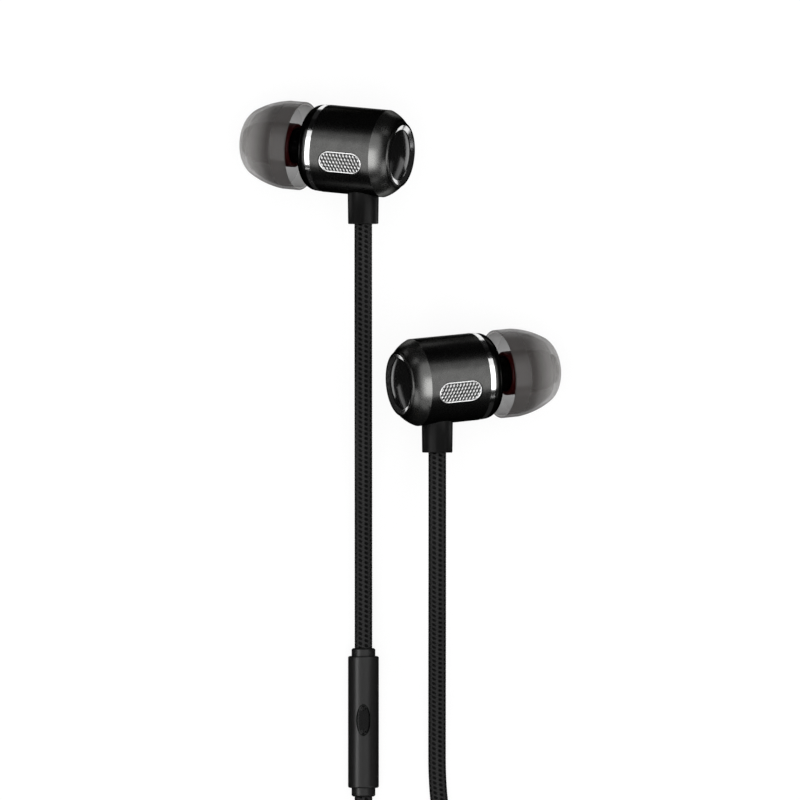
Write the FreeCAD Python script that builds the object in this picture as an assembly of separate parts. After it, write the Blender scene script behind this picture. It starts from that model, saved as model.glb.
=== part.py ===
"""Wired earphones with an inline remote, lying on a flat surface with their cord put away in a coil.

Millimetres. +Z is up from the surface, +Y runs from the plug's end of the cord to the ear pieces,
and the origin is on the surface under the middle of the two ear pieces.
"""
import FreeCAD
import Part
import math
import os

Vec = FreeCAD.Vector

# Ear piece, turned parts. Distances along the barrel start at its front edge and grow to its cap.
BARREL_RADIUS = 6.08            # outside of the metal barrel
BARREL_WALL = 0.8               # wall of the metal barrel
FRONT_STEP = 0.08               # how much smaller the front cap is all round than the barrel
FRONT_RADIUS = BARREL_RADIUS - FRONT_STEP
FRONT_ROUND_LENGTH = 1.2        # rounding of the front cap's outer edge, along the barrel
FRONT_ROUND_WIDTH = 0.6         # and across it
FRONT_ROUND_BULGE = 0.158       # how far it stands out from a straight line
FRONT_THICKNESS = 0.9           # the front cap's disc, ahead of the sound chamber
FRONT_LENGTH = 1.46             # the front cap's rim, from its front edge to the trim ring
TRIM_WIDTH = 0.72               # width of the bright trim ring behind the front cap
TRIM_PROUD = 0.03               # how far the trim ring stands out of the front cap
SPIGOT_LENGTH = 1.6             # how far the front cap reaches into the barrel behind the trim ring
SPIGOT_WALL = 0.45
FIT_GAP = 0.04                  # radial gap between pieces that slide together and are bonded
BARREL_LENGTH = 13.6            # front edge to rear opening
SHOULDER_LENGTH = 2.4           # bevelled shoulder at the rear
OPENING_RADIUS = 4.2            # rear opening
SHOULDER_BULGE = 0.15           # how far it stands out from a plain bevel
LIP_WIDTH = 0.4                 # rounded lip round the rear opening
LIP_ROUND = 0.4                 # its length along the barrel
LIP_BULGE = 0.1                 # how far it stands out from a straight line
STEM_AT = 7.65                  # where the stem's axis crosses the barrel's axis
STEM_LEAN = 5.25                # degrees that the stem's end leans towards the cap

# Nozzle and its screen
NOZZLE_LENGTH = 5.5             # ahead of the front edge
NOZZLE_RADIUS = 2.45            # collar at the root and barb at the end
NOZZLE_WAIST = 2.1              # groove between them
NOZZLE_ROOT = 2.4               # length of the collar at the root
NOZZLE_BARB = 0.9               # length of the barb at the end
NOZZLE_BORE = 1.55
SCREEN_THICKNESS = 0.2
SCREEN_HOLE = 0.16              # radius of one hole in the screen
SCREEN_PITCH = 0.46             # hole to hole in the screen
SCREEN_RINGS = 2                # rings of holes round the middle one

# Vent window in the barrel's side
VENT_AT = 6.78                  # its middle, from the front edge
VENT_TURN = 72.6                # degrees round the barrel from the stem
VENT_LENGTH = 6.6
VENT_WIDTH = 3.2
VENT_RECESS = 0.1               # the insert's face below the barrel's skin
VENT_GAP = 0.03                 # gap round the insert

# Rear ring and dome
RING_INNER = 3.5                # radius where the bright ring meets the dome
RING_DEPTH = 0.12               # the ring's outer edge below the rear opening's lip
RING_DISH = 0.22                # how far the ring's inner edge lies deeper than its outer edge
RING_THICKNESS = 0.5
DOME_RISE = 0.62                # crown of the dome above its own edge
DOME_FLANGE = 0.5               # thickness of the dome's hidden flange

# Driver
FRAME_WALL = 0.35
FRAME_LENGTH = 2.4
FRAME_SEAT = 1.34               # width of the frame's ring between the barrel and the yoke
DIAPHRAGM_THICKNESS = 0.08
DIAPHRAGM_RISE = 0.45
YOKE_RADIUS = BARREL_RADIUS - BARREL_WALL - FIT_GAP - FRAME_SEAT
YOKE_WALL = 0.4
YOKE_LENGTH = 2.6
POLE_SLOT = 0.5                 # slot between the yoke and the pole for the voice coil
POLE_RADIUS = YOKE_RADIUS - YOKE_WALL - POLE_SLOT
POLE_THICKNESS = 0.5
VOICE_COIL_WALL = 0.2
VOICE_COIL_LENGTH = 1.1
DRIVER_GAP = 0.15               # air beside the voice coil and under the diaphragm
BOARD_INSET = 1.1               # the terminal board's edge inside the yoke's
BOARD_THICKNESS = 0.5

# Strain relief at the end of the stem, measured from the barrel's axis
RELIEF_END = 10.06
RELIEF_RADIUS = 2.17
RELIEF_TAPER = 0.06             # how much narrower its free end is
RELIEF_ROUND = 0.15
RELIEF_NECK = 1.3               # radius of the neck that passes through the barrel's wall
RELIEF_FLANGE = 1.85            # radius of the flange inside the barrel
RELIEF_FLANGE_THICKNESS = 0.5
POCKET_FLOOR = 5.55             # depth of the flat pocket that the relief seats in

# Ear tip: a soft flange on a firmer core. Distances are ahead of the front edge.
TIP_RIM = 1.65                  # the skirt's free rim
TIP_WIDEST = 3.1
TIP_SHOULDER = 8.8
TIP_END = 10.1
TIP_RIM_RADIUS = 6.04
TIP_RADIUS = 6.17
TIP_SHOULDER_RADIUS = 4.52
TIP_MOUTH_RADIUS = 2.6
TIP_CROWN_BULGE = 0.45          # rise of the crown over a straight line from widest to shoulder
TIP_NOSE_BULGE = 0.2            # rise of the nose over a straight line from shoulder to mouth
SKIRT_WALL = 0.36
NOSE_WALL = 1.2                 # thickness of the flange where it joins the core
CORE_BACK = 2.6                 # rear end of the core
CORE_FIT = 0.04                 # gap between the core and the nozzle
CORE_WALL = 0.56
CORE_BORE_END = 5.75            # where the nozzle's seat ends and the sound bore starts
SOUND_BORE = 1.75
TIP_TRAVEL = 4.0                # how far the ear tip slides to come off the nozzle

# Pose of the ear pieces on the surface
CAP_RISE = 24.0                 # degrees that the cap end points up
STEM_X = 5.14                   # each stem's distance from the middle plane
PAIR_STEP = 31.75               # how much further along the cord the right ear piece lies

# Cord
CORD_DIAMETER = 2.5
CORD_RADIUS = CORD_DIAMETER / 2
TURN_GAP = 0.45                 # air between the coil's turns
TURN_PITCH = CORD_DIAMETER + TURN_GAP
ARC_SHARE = 0.45                # share of the shorter run that each bend of a free cord takes

# Remote on the left cord
REMOTE_RADIUS = 2.15
REMOTE_TOP = -52.95
REMOTE_LENGTH = 18.4
REMOTE_WALL = 0.45
REMOTE_ROUND = 0.25
COLLAR_RADIUS = 1.66
UPPER_COLLAR = 1.1              # visible length of the collar on the ear piece's side
LOWER_COLLAR = 1.2              # visible length of the collar on the plug's side
COLLAR_BEVEL = 0.18
COLLAR_SPIGOT = 1.5
BUTTON_LENGTH = 4.3
BUTTON_WIDTH = 1.85
BUTTON_AT = -61.85
BUTTON_GAP = 0.08
BUTTON_PROUD = 0.1
BUTTON_LIP = 0.2                # how far the hidden lip reaches past the button all round
BUTTON_LIP_TOP = 1.15           # top of that lip above the remote's axis
BUTTON_LIP_THICKNESS = 0.3
BOARD_WIDTH = 2.6
BOARD_LENGTH = 13.0
REMOTE_BOARD_THICKNESS = 0.5
SWITCH_WIDTH = 1.8
SWITCH_LENGTH = 2.6
SWITCH_HEIGHT = 0.45
MIC_RADIUS = 0.9
MIC_HEIGHT = 0.8
MIC_AT = -67.7
MIC_PORT = 0.25

# Put-away coil, seen from above: wound clockwise round COIL_CENTRE
COIL_CENTRE = Vec(0, -115, 0)
COIL_RADIUS = 20.9              # outermost turn of the trunk
TRUNK_TURNS = 4.17              # turns of the lower layer before the spiral reverses
TRUNK_START = 180.0             # degrees
PAIR_RADIUS = 19.45             # middle of the two branches' outermost turn
PAIR_TURNS = 0.75
PAIR_START = 0.0
CLIMB_TURNS = 0.5               # part of a turn in which a spiral reverses and climbs to the next layer

# Splitter, lying across the bottom of the coil
SPLITTER_LENGTH = 14.0
SPLITTER_WIDTH = 7.0
SPLITTER_NARROW = 4.4
SPLITTER_HEIGHT = 4.0
SPLITTER_ROUND = 0.5
SPLITTER_X = -2.0
SPLITTER_Y = -144.0

# Plug, lying beside the coil and pointing along +Y
PLUG_X = -26.0
PLUG_START = -112.5             # cord end of the plug's strain relief
PLUG_RADIUS = 2.95
PLUG_BARREL = 15.0
PLUG_WALL = 0.5
PLUG_FACE = 1.0                 # thickness of the barrel's front wall
PLUG_BEVEL = 0.35
PLUG_RELIEF = 6.0
PLUG_RELIEF_WIDE = 2.05
PLUG_RELIEF_NARROW = 1.7
PLUG_RELIEF_FLANGE = 1.0        # thickness of the relief's flange inside the barrel
PIN_RADIUS = 1.75
PIN_NECK = 1.5                  # radius of the pin where it passes through the barrel's front wall
PIN_LENGTH = 14.0
PIN_SLEEVE = 4.2
PIN_BAND = 2.1
PIN_INSULATOR = 0.5
PIN_CORE = 0.5
PIN_INNER = 0.95
PIN_TAIL = 5.0                  # how far the tip contact reaches back into the plug's barrel
INSULATOR_TAIL = 4.0            # how far the insulator does
TIP_LAND = 0.3                  # full-width land at the foot of the tip contact
TIP_WAIST = 1.2                 # radius of the groove that the socket's spring snaps into
TIP_GROOVE = (1.2, 1.5)         # where that groove's floor starts and ends, past the foot
TIP_CREST = 1.52                # radius of the nose behind its taper
TIP_CREST_AT = 2.5
TIP_CREST_BULGE = 0.15
TIP_TAPER_RADIUS = 0.7          # where the nose's taper meets its end bevel
TIP_BEVEL = 0.35


QUARTER_BULGE = 1 - math.sqrt(0.5)      # rise of a quarter circle over its chord, for a radius of 1


class Outline:
    """A closed outline beside a lathe's axis: u runs along the axis and r out from it."""

    def __init__(self, u, r):
        self.first = Vec(u, r, 0)
        self.last = self.first
        self.edges = []

    def line(self, u, r):
        end = Vec(u, r, 0)
        if end.distanceToPoint(self.last) > 1e-9:
            self.edges.append(Part.LineSegment(self.last, end).toShape())
            self.last = end
        return self

    def arc(self, via, end):
        middle = Vec(via[0], via[1], 0)
        end = Vec(end[0], end[1], 0)
        self.edges.append(Part.Arc(self.last, middle, end).toShape())
        self.last = end
        return self

    def bulge(self, u, r, rise):
        """An arc to (u, r) whose middle stands out by rise from the straight line."""
        end = Vec(u, r, 0)
        along = end - self.last
        out = Vec(-along.y, along.x, 0).normalize()
        middle = (self.last + end) * 0.5 + out * rise
        return self.arc((middle.x, middle.y), (u, r))

    def crown(self, u):
        """A spherical dome to the point u on the axis."""
        return self.arc(crown_middle(u, self.last.x, self.last.y), (u, 0))

    def turned(self):
        self.line(self.first.x, self.first.y)
        face = Part.Face(Part.Wire(self.edges))
        return face.revolve(Vec(0, 0, 0), Vec(1, 0, 0), 360)


def crown_middle(top, rim, radius):
    """A point halfway in from the rim of a spherical dome that stands on the axis."""
    rise = top - rim
    sphere = (radius ** 2 + rise ** 2) / (2 * abs(rise))
    lowering = sphere - math.sqrt(sphere ** 2 - radius ** 2 / 4)
    return top - math.copysign(lowering, rise), radius / 2


def ring(start, end, inner, outer):
    """A plain ring or disc on the lathe's axis."""
    return Outline(start, inner).line(start, outer).line(end, outer).line(end, inner).turned()


def framed(shape, origin, x_axis, y_axis):
    """Moves a shape so that its own X and Y axes lie along the given ones."""
    z_axis = x_axis.cross(y_axis)
    matrix = FreeCAD.Matrix(x_axis.x, y_axis.x, z_axis.x, origin.x,
                            x_axis.y, y_axis.y, z_axis.y, origin.y,
                            x_axis.z, y_axis.z, z_axis.z, origin.z,
                            0, 0, 0, 1)
    placed = shape.copy()
    placed.Placement = FreeCAD.Placement(matrix).multiply(shape.Placement)
    return placed


def stadium(length, width, bottom, top):
    """An upright prism with rounded ends, long in X, centred on the Z axis."""
    half = length / 2 - width / 2
    radius = width / 2
    body = Part.makeBox(2 * half, width, top - bottom, Vec(-half, -radius, bottom))
    for side in (-half, half):
        body = body.fuse(Part.makeCylinder(radius, top - bottom, Vec(side, 0, bottom)))
    return body.removeSplitter()


# Ear piece in its own frame: X is the barrel's axis towards the cap, and the stem lies in its XY plane

def stem_direction():
    lean = math.radians(STEM_LEAN)
    return Vec(math.sin(lean), -math.cos(lean), 0)


def along_stem(shape):
    """Places a piece turned about X so that its axis is the stem's, from the barrel's axis outwards."""
    down = stem_direction()
    return framed(shape, Vec(STEM_AT, 0, 0), down, Vec(-down.y, down.x, 0))


def vent_prism(length, width, bottom, top):
    """A prism with the vent's outline, standing out from the barrel's axis through the vent."""
    turn = math.radians(VENT_TURN)
    out = Vec(0, -math.cos(turn), math.sin(turn))
    along = Vec(1, 0, 0)
    return framed(stadium(length, width, bottom, top), Vec(VENT_AT, 0, 0), along, out.cross(along))


def barrel_shell():
    front = FRONT_LENGTH + TRIM_WIDTH
    edge = BARREL_LENGTH - SHOULDER_LENGTH
    inner = BARREL_RADIUS - BARREL_WALL
    shell = (Outline(front, inner)
             .line(front, BARREL_RADIUS)
             .line(edge, BARREL_RADIUS)
             .bulge(BARREL_LENGTH - LIP_ROUND, OPENING_RADIUS + LIP_WIDTH, SHOULDER_BULGE)
             .bulge(BARREL_LENGTH, OPENING_RADIUS, LIP_BULGE)
             .line(BARREL_LENGTH - SHOULDER_LENGTH / 2, OPENING_RADIUS)
             .line(edge, inner)
             .turned())
    hole = along_stem(ring(0, BARREL_RADIUS * 2, 0, RELIEF_NECK + FIT_GAP))
    pocket = along_stem(ring(POCKET_FLOOR, BARREL_RADIUS * 2, 0, RELIEF_RADIUS + FIT_GAP))
    window = vent_prism(VENT_LENGTH, VENT_WIDTH, 0, BARREL_RADIUS * 2)
    return shell.cut(hole).cut(pocket).cut(window)


def front_cap():
    inner = BARREL_RADIUS - BARREL_WALL - FIT_GAP
    chamber = inner - SPIGOT_WALL
    root = -NOZZLE_ROOT
    barb = -NOZZLE_LENGTH + NOZZLE_BARB
    back = FRONT_LENGTH + TRIM_WIDTH + SPIGOT_LENGTH
    return (Outline(-NOZZLE_LENGTH, NOZZLE_BORE)
            .line(-NOZZLE_LENGTH, NOZZLE_WAIST)
            .line(-NOZZLE_LENGTH + NOZZLE_BARB / 2, NOZZLE_RADIUS)
            .line(barb, NOZZLE_RADIUS)
            .line(barb, NOZZLE_WAIST)
            .line(root, NOZZLE_WAIST)
            .line(root, NOZZLE_RADIUS)
            .line(0, NOZZLE_RADIUS)
            .line(0, FRONT_RADIUS - FRONT_ROUND_WIDTH)
            .bulge(FRONT_ROUND_LENGTH, FRONT_RADIUS, FRONT_ROUND_BULGE)
            .line(FRONT_LENGTH, FRONT_RADIUS)
            .line(FRONT_LENGTH, inner)
            .line(back, inner)
            .line(back, chamber)
            .line(FRONT_THICKNESS, chamber)
            .line(FRONT_THICKNESS, NOZZLE_BORE)
            .turned())


def trim_ring():
    inner = BARREL_RADIUS - BARREL_WALL
    return ring(FRONT_LENGTH, FRONT_LENGTH + TRIM_WIDTH, inner, FRONT_RADIUS + TRIM_PROUD)


def nozzle_mesh():
    back = -NOZZLE_LENGTH + NOZZLE_BARB / 2
    disc = ring(back, back + SCREEN_THICKNESS, 0, NOZZLE_BORE)
    holes = [Vec(back, 0, 0)]
    for lap in range(1, SCREEN_RINGS + 1):
        reach = SCREEN_PITCH * lap
        for step in range(6 * lap):
            angle = 2 * math.pi * step / (6 * lap)
            holes.append(Vec(back, reach * math.cos(angle), reach * math.sin(angle)))
    drills = [Part.makeCylinder(SCREEN_HOLE, SCREEN_THICKNESS, place, Vec(1, 0, 0)) for place in holes]
    return disc.cut(Part.makeCompound(drills))


def vent_insert():
    skin = BARREL_RADIUS - VENT_RECESS
    shell = ring(0, BARREL_LENGTH, BARREL_RADIUS - BARREL_WALL, skin)
    return shell.common(vent_prism(VENT_LENGTH - 2 * VENT_GAP, VENT_WIDTH - 2 * VENT_GAP, 0, BARREL_RADIUS))


def rear_ring():
    outer = OPENING_RADIUS - FIT_GAP
    top = BARREL_LENGTH - RING_DEPTH
    return (Outline(top - RING_THICKNESS - RING_DISH, RING_INNER + FIT_GAP)
            .line(top - RING_DISH, RING_INNER + FIT_GAP)
            .line(top, outer)
            .line(top - RING_THICKNESS - RING_DISH, outer)
            .turned())


def rear_dome():
    edge = BARREL_LENGTH - RING_DEPTH - RING_DISH
    seat = edge - RING_THICKNESS
    return (Outline(seat - DOME_FLANGE, 0)
            .line(seat - DOME_FLANGE, OPENING_RADIUS - FIT_GAP)
            .line(seat, OPENING_RADIUS - FIT_GAP)
            .line(seat, RING_INNER)
            .line(edge, RING_INNER)
            .crown(edge + DOME_RISE)
            .turned())


def driver_station(name):
    """Places along the barrel of the driver's pieces, from the diaphragm back."""
    start = FRONT_LENGTH + TRIM_WIDTH + SPIGOT_LENGTH
    yoke = start + DIAPHRAGM_RISE + DRIVER_GAP
    pole = yoke + DRIVER_GAP
    return {"diaphragm": start, "yoke": yoke, "pole": pole, "magnet": pole + POLE_THICKNESS,
            "board": yoke + YOKE_LENGTH}[name]


def driver_frame():
    outer = BARREL_RADIUS - BARREL_WALL - FIT_GAP
    start = driver_station("diaphragm")
    yoke = driver_station("yoke")
    return (Outline(start, outer - FRAME_WALL)
            .line(start, outer)
            .line(start + FRAME_LENGTH, outer)
            .line(start + FRAME_LENGTH, YOKE_RADIUS)
            .line(yoke, YOKE_RADIUS)
            .line(yoke, outer - FRAME_WALL)
            .turned())


def diaphragm():
    """A dome in the middle and a rolled surround, both bulging towards the nozzle."""
    front = driver_station("diaphragm")
    back = front + DIAPHRAGM_RISE - DIAPHRAGM_THICKNESS
    rim = BARREL_RADIUS - BARREL_WALL - FRAME_WALL - 2 * FIT_GAP
    seam = rim / 2
    roll = (rim + seam) / 2
    rise = DIAPHRAGM_RISE / 2
    return (Outline(back, rim)
            .arc((back - rise, roll), (back, seam))
            .crown(front)
            .line(front + DIAPHRAGM_THICKNESS, 0)
            .arc(crown_middle(front + DIAPHRAGM_THICKNESS, back + DIAPHRAGM_THICKNESS, seam),
                 (back + DIAPHRAGM_THICKNESS, seam))
            .arc((back - rise + DIAPHRAGM_THICKNESS, roll), (back + DIAPHRAGM_THICKNESS, rim))
            .turned())


def voice_coil():
    start = driver_station("diaphragm") + DIAPHRAGM_RISE
    inner = POLE_RADIUS + DRIVER_GAP / 2
    return ring(start, start + VOICE_COIL_LENGTH, inner, inner + VOICE_COIL_WALL)


def driver_yoke():
    start = driver_station("yoke")
    floor = start + YOKE_LENGTH - YOKE_WALL
    return (Outline(start, YOKE_RADIUS - YOKE_WALL)
            .line(start, YOKE_RADIUS)
            .line(start + YOKE_LENGTH, YOKE_RADIUS)
            .line(start + YOKE_LENGTH, 0)
            .line(floor, 0)
            .line(floor, YOKE_RADIUS - YOKE_WALL)
            .turned())


def driver_top_plate():
    start = driver_station("pole")
    return ring(start, start + POLE_THICKNESS, 0, POLE_RADIUS)


def driver_magnet():
    floor = driver_station("yoke") + YOKE_LENGTH - YOKE_WALL
    return ring(driver_station("magnet"), floor, 0, POLE_RADIUS - DRIVER_GAP)


def terminal_board():
    start = driver_station("board")
    return ring(start, start + BOARD_THICKNESS, 0, YOKE_RADIUS - BOARD_INSET)


def strain_relief():
    inner_wall = BARREL_RADIUS - BARREL_WALL
    flange_top = math.sqrt(inner_wall ** 2 - RELIEF_FLANGE ** 2) - FIT_GAP
    tip = RELIEF_RADIUS - RELIEF_TAPER
    return along_stem(Outline(flange_top - RELIEF_FLANGE_THICKNESS, 0)
                      .line(flange_top - RELIEF_FLANGE_THICKNESS, RELIEF_FLANGE)
                      .line(flange_top, RELIEF_FLANGE)
                      .line(flange_top, RELIEF_NECK)
                      .line(POCKET_FLOOR, RELIEF_NECK)
                      .line(POCKET_FLOOR, RELIEF_RADIUS)
                      .line(RELIEF_END - RELIEF_ROUND, tip)
                      .bulge(RELIEF_END, tip - RELIEF_ROUND, RELIEF_ROUND * QUARTER_BULGE)
                      .line(RELIEF_END, 0)
                      .turned())


def ear_tip_flange():
    neck = NOZZLE_RADIUS + CORE_FIT + CORE_WALL / 2
    join = -(TIP_END - NOSE_WALL)
    rim = -TIP_RIM - SKIRT_WALL / 2
    return (Outline(-TIP_END, SOUND_BORE + SKIRT_WALL)
            .line(-TIP_END, TIP_MOUTH_RADIUS)
            .bulge(-TIP_SHOULDER, TIP_SHOULDER_RADIUS, TIP_NOSE_BULGE)
            .bulge(-TIP_WIDEST, TIP_RADIUS, TIP_CROWN_BULGE)
            .line(rim, TIP_RIM_RADIUS)
            .bulge(rim, TIP_RIM_RADIUS - SKIRT_WALL, SKIRT_WALL / 2)
            .line(-TIP_WIDEST, TIP_RADIUS - SKIRT_WALL)
            .bulge(-TIP_SHOULDER + SKIRT_WALL, TIP_SHOULDER_RADIUS - SKIRT_WALL, -TIP_CROWN_BULGE)
            .line(join, neck)
            .line(join, SOUND_BORE + SKIRT_WALL)
            .turned())


def ear_tip_core():
    seat = NOZZLE_RADIUS + CORE_FIT
    outside = seat + CORE_WALL
    join = -(TIP_END - NOSE_WALL)
    return (Outline(-CORE_BACK, seat)
            .line(-CORE_BACK, outside)
            .line(-CORE_BORE_END, outside)
            .line(join, seat + CORE_WALL / 2)
            .line(join, SOUND_BORE + SKIRT_WALL)
            .line(-TIP_END, SOUND_BORE + SKIRT_WALL)
            .line(-TIP_END, SOUND_BORE)
            .line(-CORE_BORE_END, SOUND_BORE)
            .line(-CORE_BORE_END, seat)
            .turned())


EAR_PIECES = {"barrel_shell": barrel_shell, "front_cap": front_cap, "trim_ring": trim_ring,
              "nozzle_mesh": nozzle_mesh, "vent_insert": vent_insert, "rear_ring": rear_ring,
              "rear_dome": rear_dome, "driver_frame": driver_frame, "diaphragm": diaphragm,
              "voice_coil": voice_coil, "driver_yoke": driver_yoke, "driver_top_plate": driver_top_plate,
              "driver_magnet": driver_magnet, "terminal_board": terminal_board,
              "strain_relief": strain_relief, "ear_tip_flange": ear_tip_flange,
              "ear_tip_core": ear_tip_core}


def ear_axes():
    """The barrel's axis and the way up beside it, for the left ear piece as it lies on the surface."""
    lean = math.sin(math.radians(STEM_LEAN))
    rise = math.sin(math.radians(CAP_RISE))
    along = Vec(math.sqrt(1 - lean ** 2 - rise ** 2), -lean, rise)
    beside = (Vec(0, 1, 0) + along * lean) * (1 / math.cos(math.radians(STEM_LEAN)))
    return along, beside


def left_crossing():
    """Where the left stem's axis meets its barrel's axis: the ear tip's crown touches the surface, and
    the box round both ear pieces has the origin under its middle."""
    along, beside = ear_axes()
    tip = framed(ear_tip_flange(), Vec(0, 0, 0) - along * STEM_AT, along, beside)
    box = tip.optimalBoundingBox(False)
    return Vec(-STEM_X, (PAIR_STEP + RELIEF_END - box.YMax) / 2, -box.ZMin)


CROSSING = left_crossing()


def lay_ear_piece(shape, side):
    along, beside = ear_axes()
    placed = framed(shape, CROSSING - along * STEM_AT, along, beside)
    if side == "right":
        placed = placed.mirror(Vec(0, 0, 0), Vec(1, 0, 0))
        placed.translate(Vec(0, -PAIR_STEP, 0))
    return placed


# Cords

def free_cord(name, points):
    """A round cord along straight runs joined by tangent arcs."""
    edges = []
    radii = []
    length = 0.0
    here = points[0]
    for before, corner, after in zip(points, points[1:], points[2:]):
        back = (before - corner).normalize()
        ahead = (after - corner).normalize()
        half_turn = (math.pi - back.getAngle(ahead)) / 2
        reach = ARC_SHARE * min(before.distanceToPoint(corner), corner.distanceToPoint(after))
        radius = reach / math.tan(half_turn)
        inward = (back + ahead).normalize()
        middle = corner + inward * (radius / math.cos(half_turn) - radius)
        start = corner + back * reach
        end = corner + ahead * reach
        edges.append(Part.LineSegment(here, start).toShape())
        edges.append(Part.Arc(start, middle, end).toShape())
        length += here.distanceToPoint(start) + 2 * half_turn * radius
        radii.append(radius)
        here = end
    edges.append(Part.LineSegment(here, points[-1]).toShape())
    length += here.distanceToPoint(points[-1])
    return swept(name, edges, points[1] - points[0], length, min(radii))


def swept(name, edges, direction, length, tightest):
    path = Part.Wire(edges)
    profile = Part.Wire([Part.Circle(edges[0].Vertexes[0].Point, direction, CORD_RADIUS).toShape()])
    tube = path.makePipeShell([profile], True, False)
    share = tube.Volume / (math.pi * CORD_RADIUS ** 2 * length)
    print(f"{name}: length {length:.1f} mm, tightest bend {tightest:.1f} mm, volume share {share:.4f}")
    return tube


def biarc(start, heading, end, arrival):
    """Two arcs that leave start along heading and reach end along arrival."""
    chord = end - start
    bend = 2 * (1 - heading.dot(arrival))
    lean = chord.dot(heading + arrival)
    reach = (-lean + math.sqrt(lean ** 2 + bend * chord.dot(chord))) / bend
    joint = (start + end + (heading - arrival) * reach) * 0.5
    return [Part.Arc(start, arc_middle(start, heading, joint), joint).toShape(),
            Part.Arc(joint, arc_middle(end, arrival * -1, joint), end).toShape()]


def arc_middle(start, heading, end):
    """The middle of the arc that leaves start along heading and passes through end."""
    chord = end - start
    side = (chord - heading * chord.dot(heading)).normalize()
    radius = chord.dot(chord) / (2 * chord.dot(side))
    centre = start + side * radius
    return centre + ((start + end) * 0.5 - centre).normalize() * radius


def coil_place(turn, outer, turns, pitch, bottom, start_angle):
    """Where the coil's middle line is after so many turns."""
    middle = turns + CLIMB_TURNS / 2
    radius = outer - pitch * (middle - abs(middle - turn))
    climb = min(max((turn - turns) / CLIMB_TURNS, 0), 1)
    height = bottom + TURN_PITCH * climb * climb * (3 - 2 * climb)
    angle = math.radians(start_angle - 360 * turn)
    return COIL_CENTRE + Vec(radius * math.cos(angle), radius * math.sin(angle), height)


def coil_cord(name, outer, turns, pitch, bottom, start_angle):
    """Spirals in on one layer and out again on the next, climbing to it where the spiral reverses."""
    last = 2 * turns + CLIMB_TURNS
    middle = last / 2
    quarters = [middle + 0.25 * step for step in range(-60, 61)]
    stations = [0.0] + [turn for turn in quarters if 0.01 < turn < last - 0.01] + [last]

    def place(turn):
        return coil_place(turn, outer, turns, pitch, bottom, start_angle)

    def heading(turn):
        if turn in (0.0, middle, last):
            angle = math.radians(start_angle - 360 * turn)
            level = Vec(math.sin(angle), -math.cos(angle), 0)
            rise = place(turn + 0.01).z - place(turn - 0.01).z
            run = place(turn + 0.01).distanceToPoint(place(turn - 0.01))
            return (level + Vec(0, 0, rise / run)).normalize()
        return (place(turn + 0.001) - place(turn - 0.001)).normalize()

    first = place(0.0)
    final = place(last)
    start = first - heading(0.0) * CORD_DIAMETER
    end = final + heading(last) * CORD_DIAMETER
    edges = [Part.LineSegment(start, first).toShape()]
    for here, there in zip(stations, stations[1:]):
        edges += biarc(place(here), heading(here), place(there), heading(there))
    edges.append(Part.LineSegment(final, end).toShape())
    print(f"{name}: {last:.2f} turns, least gap to itself {least_gap(edges):.2f} mm")
    length = sum(edge.Length for edge in edges)
    tightest = min(edge.Curve.Radius for edge in edges if hasattr(edge.Curve, "Radius"))
    return swept(name, edges, heading(0.0), length, tightest)


def least_gap(edges):
    """Smallest gap between the turns of one cord, measured on points along its middle line."""
    points = []
    for edge in edges:
        points += edge.discretize(Distance=1.0)[:-1]
    near = 8
    return min((points[i] - points[j]).Length
               for i in range(len(points)) for j in range(i + near, len(points))) - CORD_DIAMETER


def coil_start(outer, start_angle, bottom):
    """Where a coiled cord starts, on the straight stretch ahead of its first turn."""
    angle = math.radians(start_angle)
    rim = COIL_CENTRE + Vec(outer * math.cos(angle), outer * math.sin(angle), bottom)
    return rim - Vec(math.sin(angle), -math.cos(angle), 0) * CORD_DIAMETER


def coil_end(outer, turns, start_angle, bottom, past):
    """A point past the end of a coiled cord's straight stretch, along the same straight line."""
    angle = math.radians(start_angle - 360 * (2 * turns + CLIMB_TURNS))
    rim = COIL_CENTRE + Vec(outer * math.cos(angle), outer * math.sin(angle), bottom + TURN_PITCH)
    return rim + Vec(math.sin(angle), -math.cos(angle), 0) * (CORD_DIAMETER + past)


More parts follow.
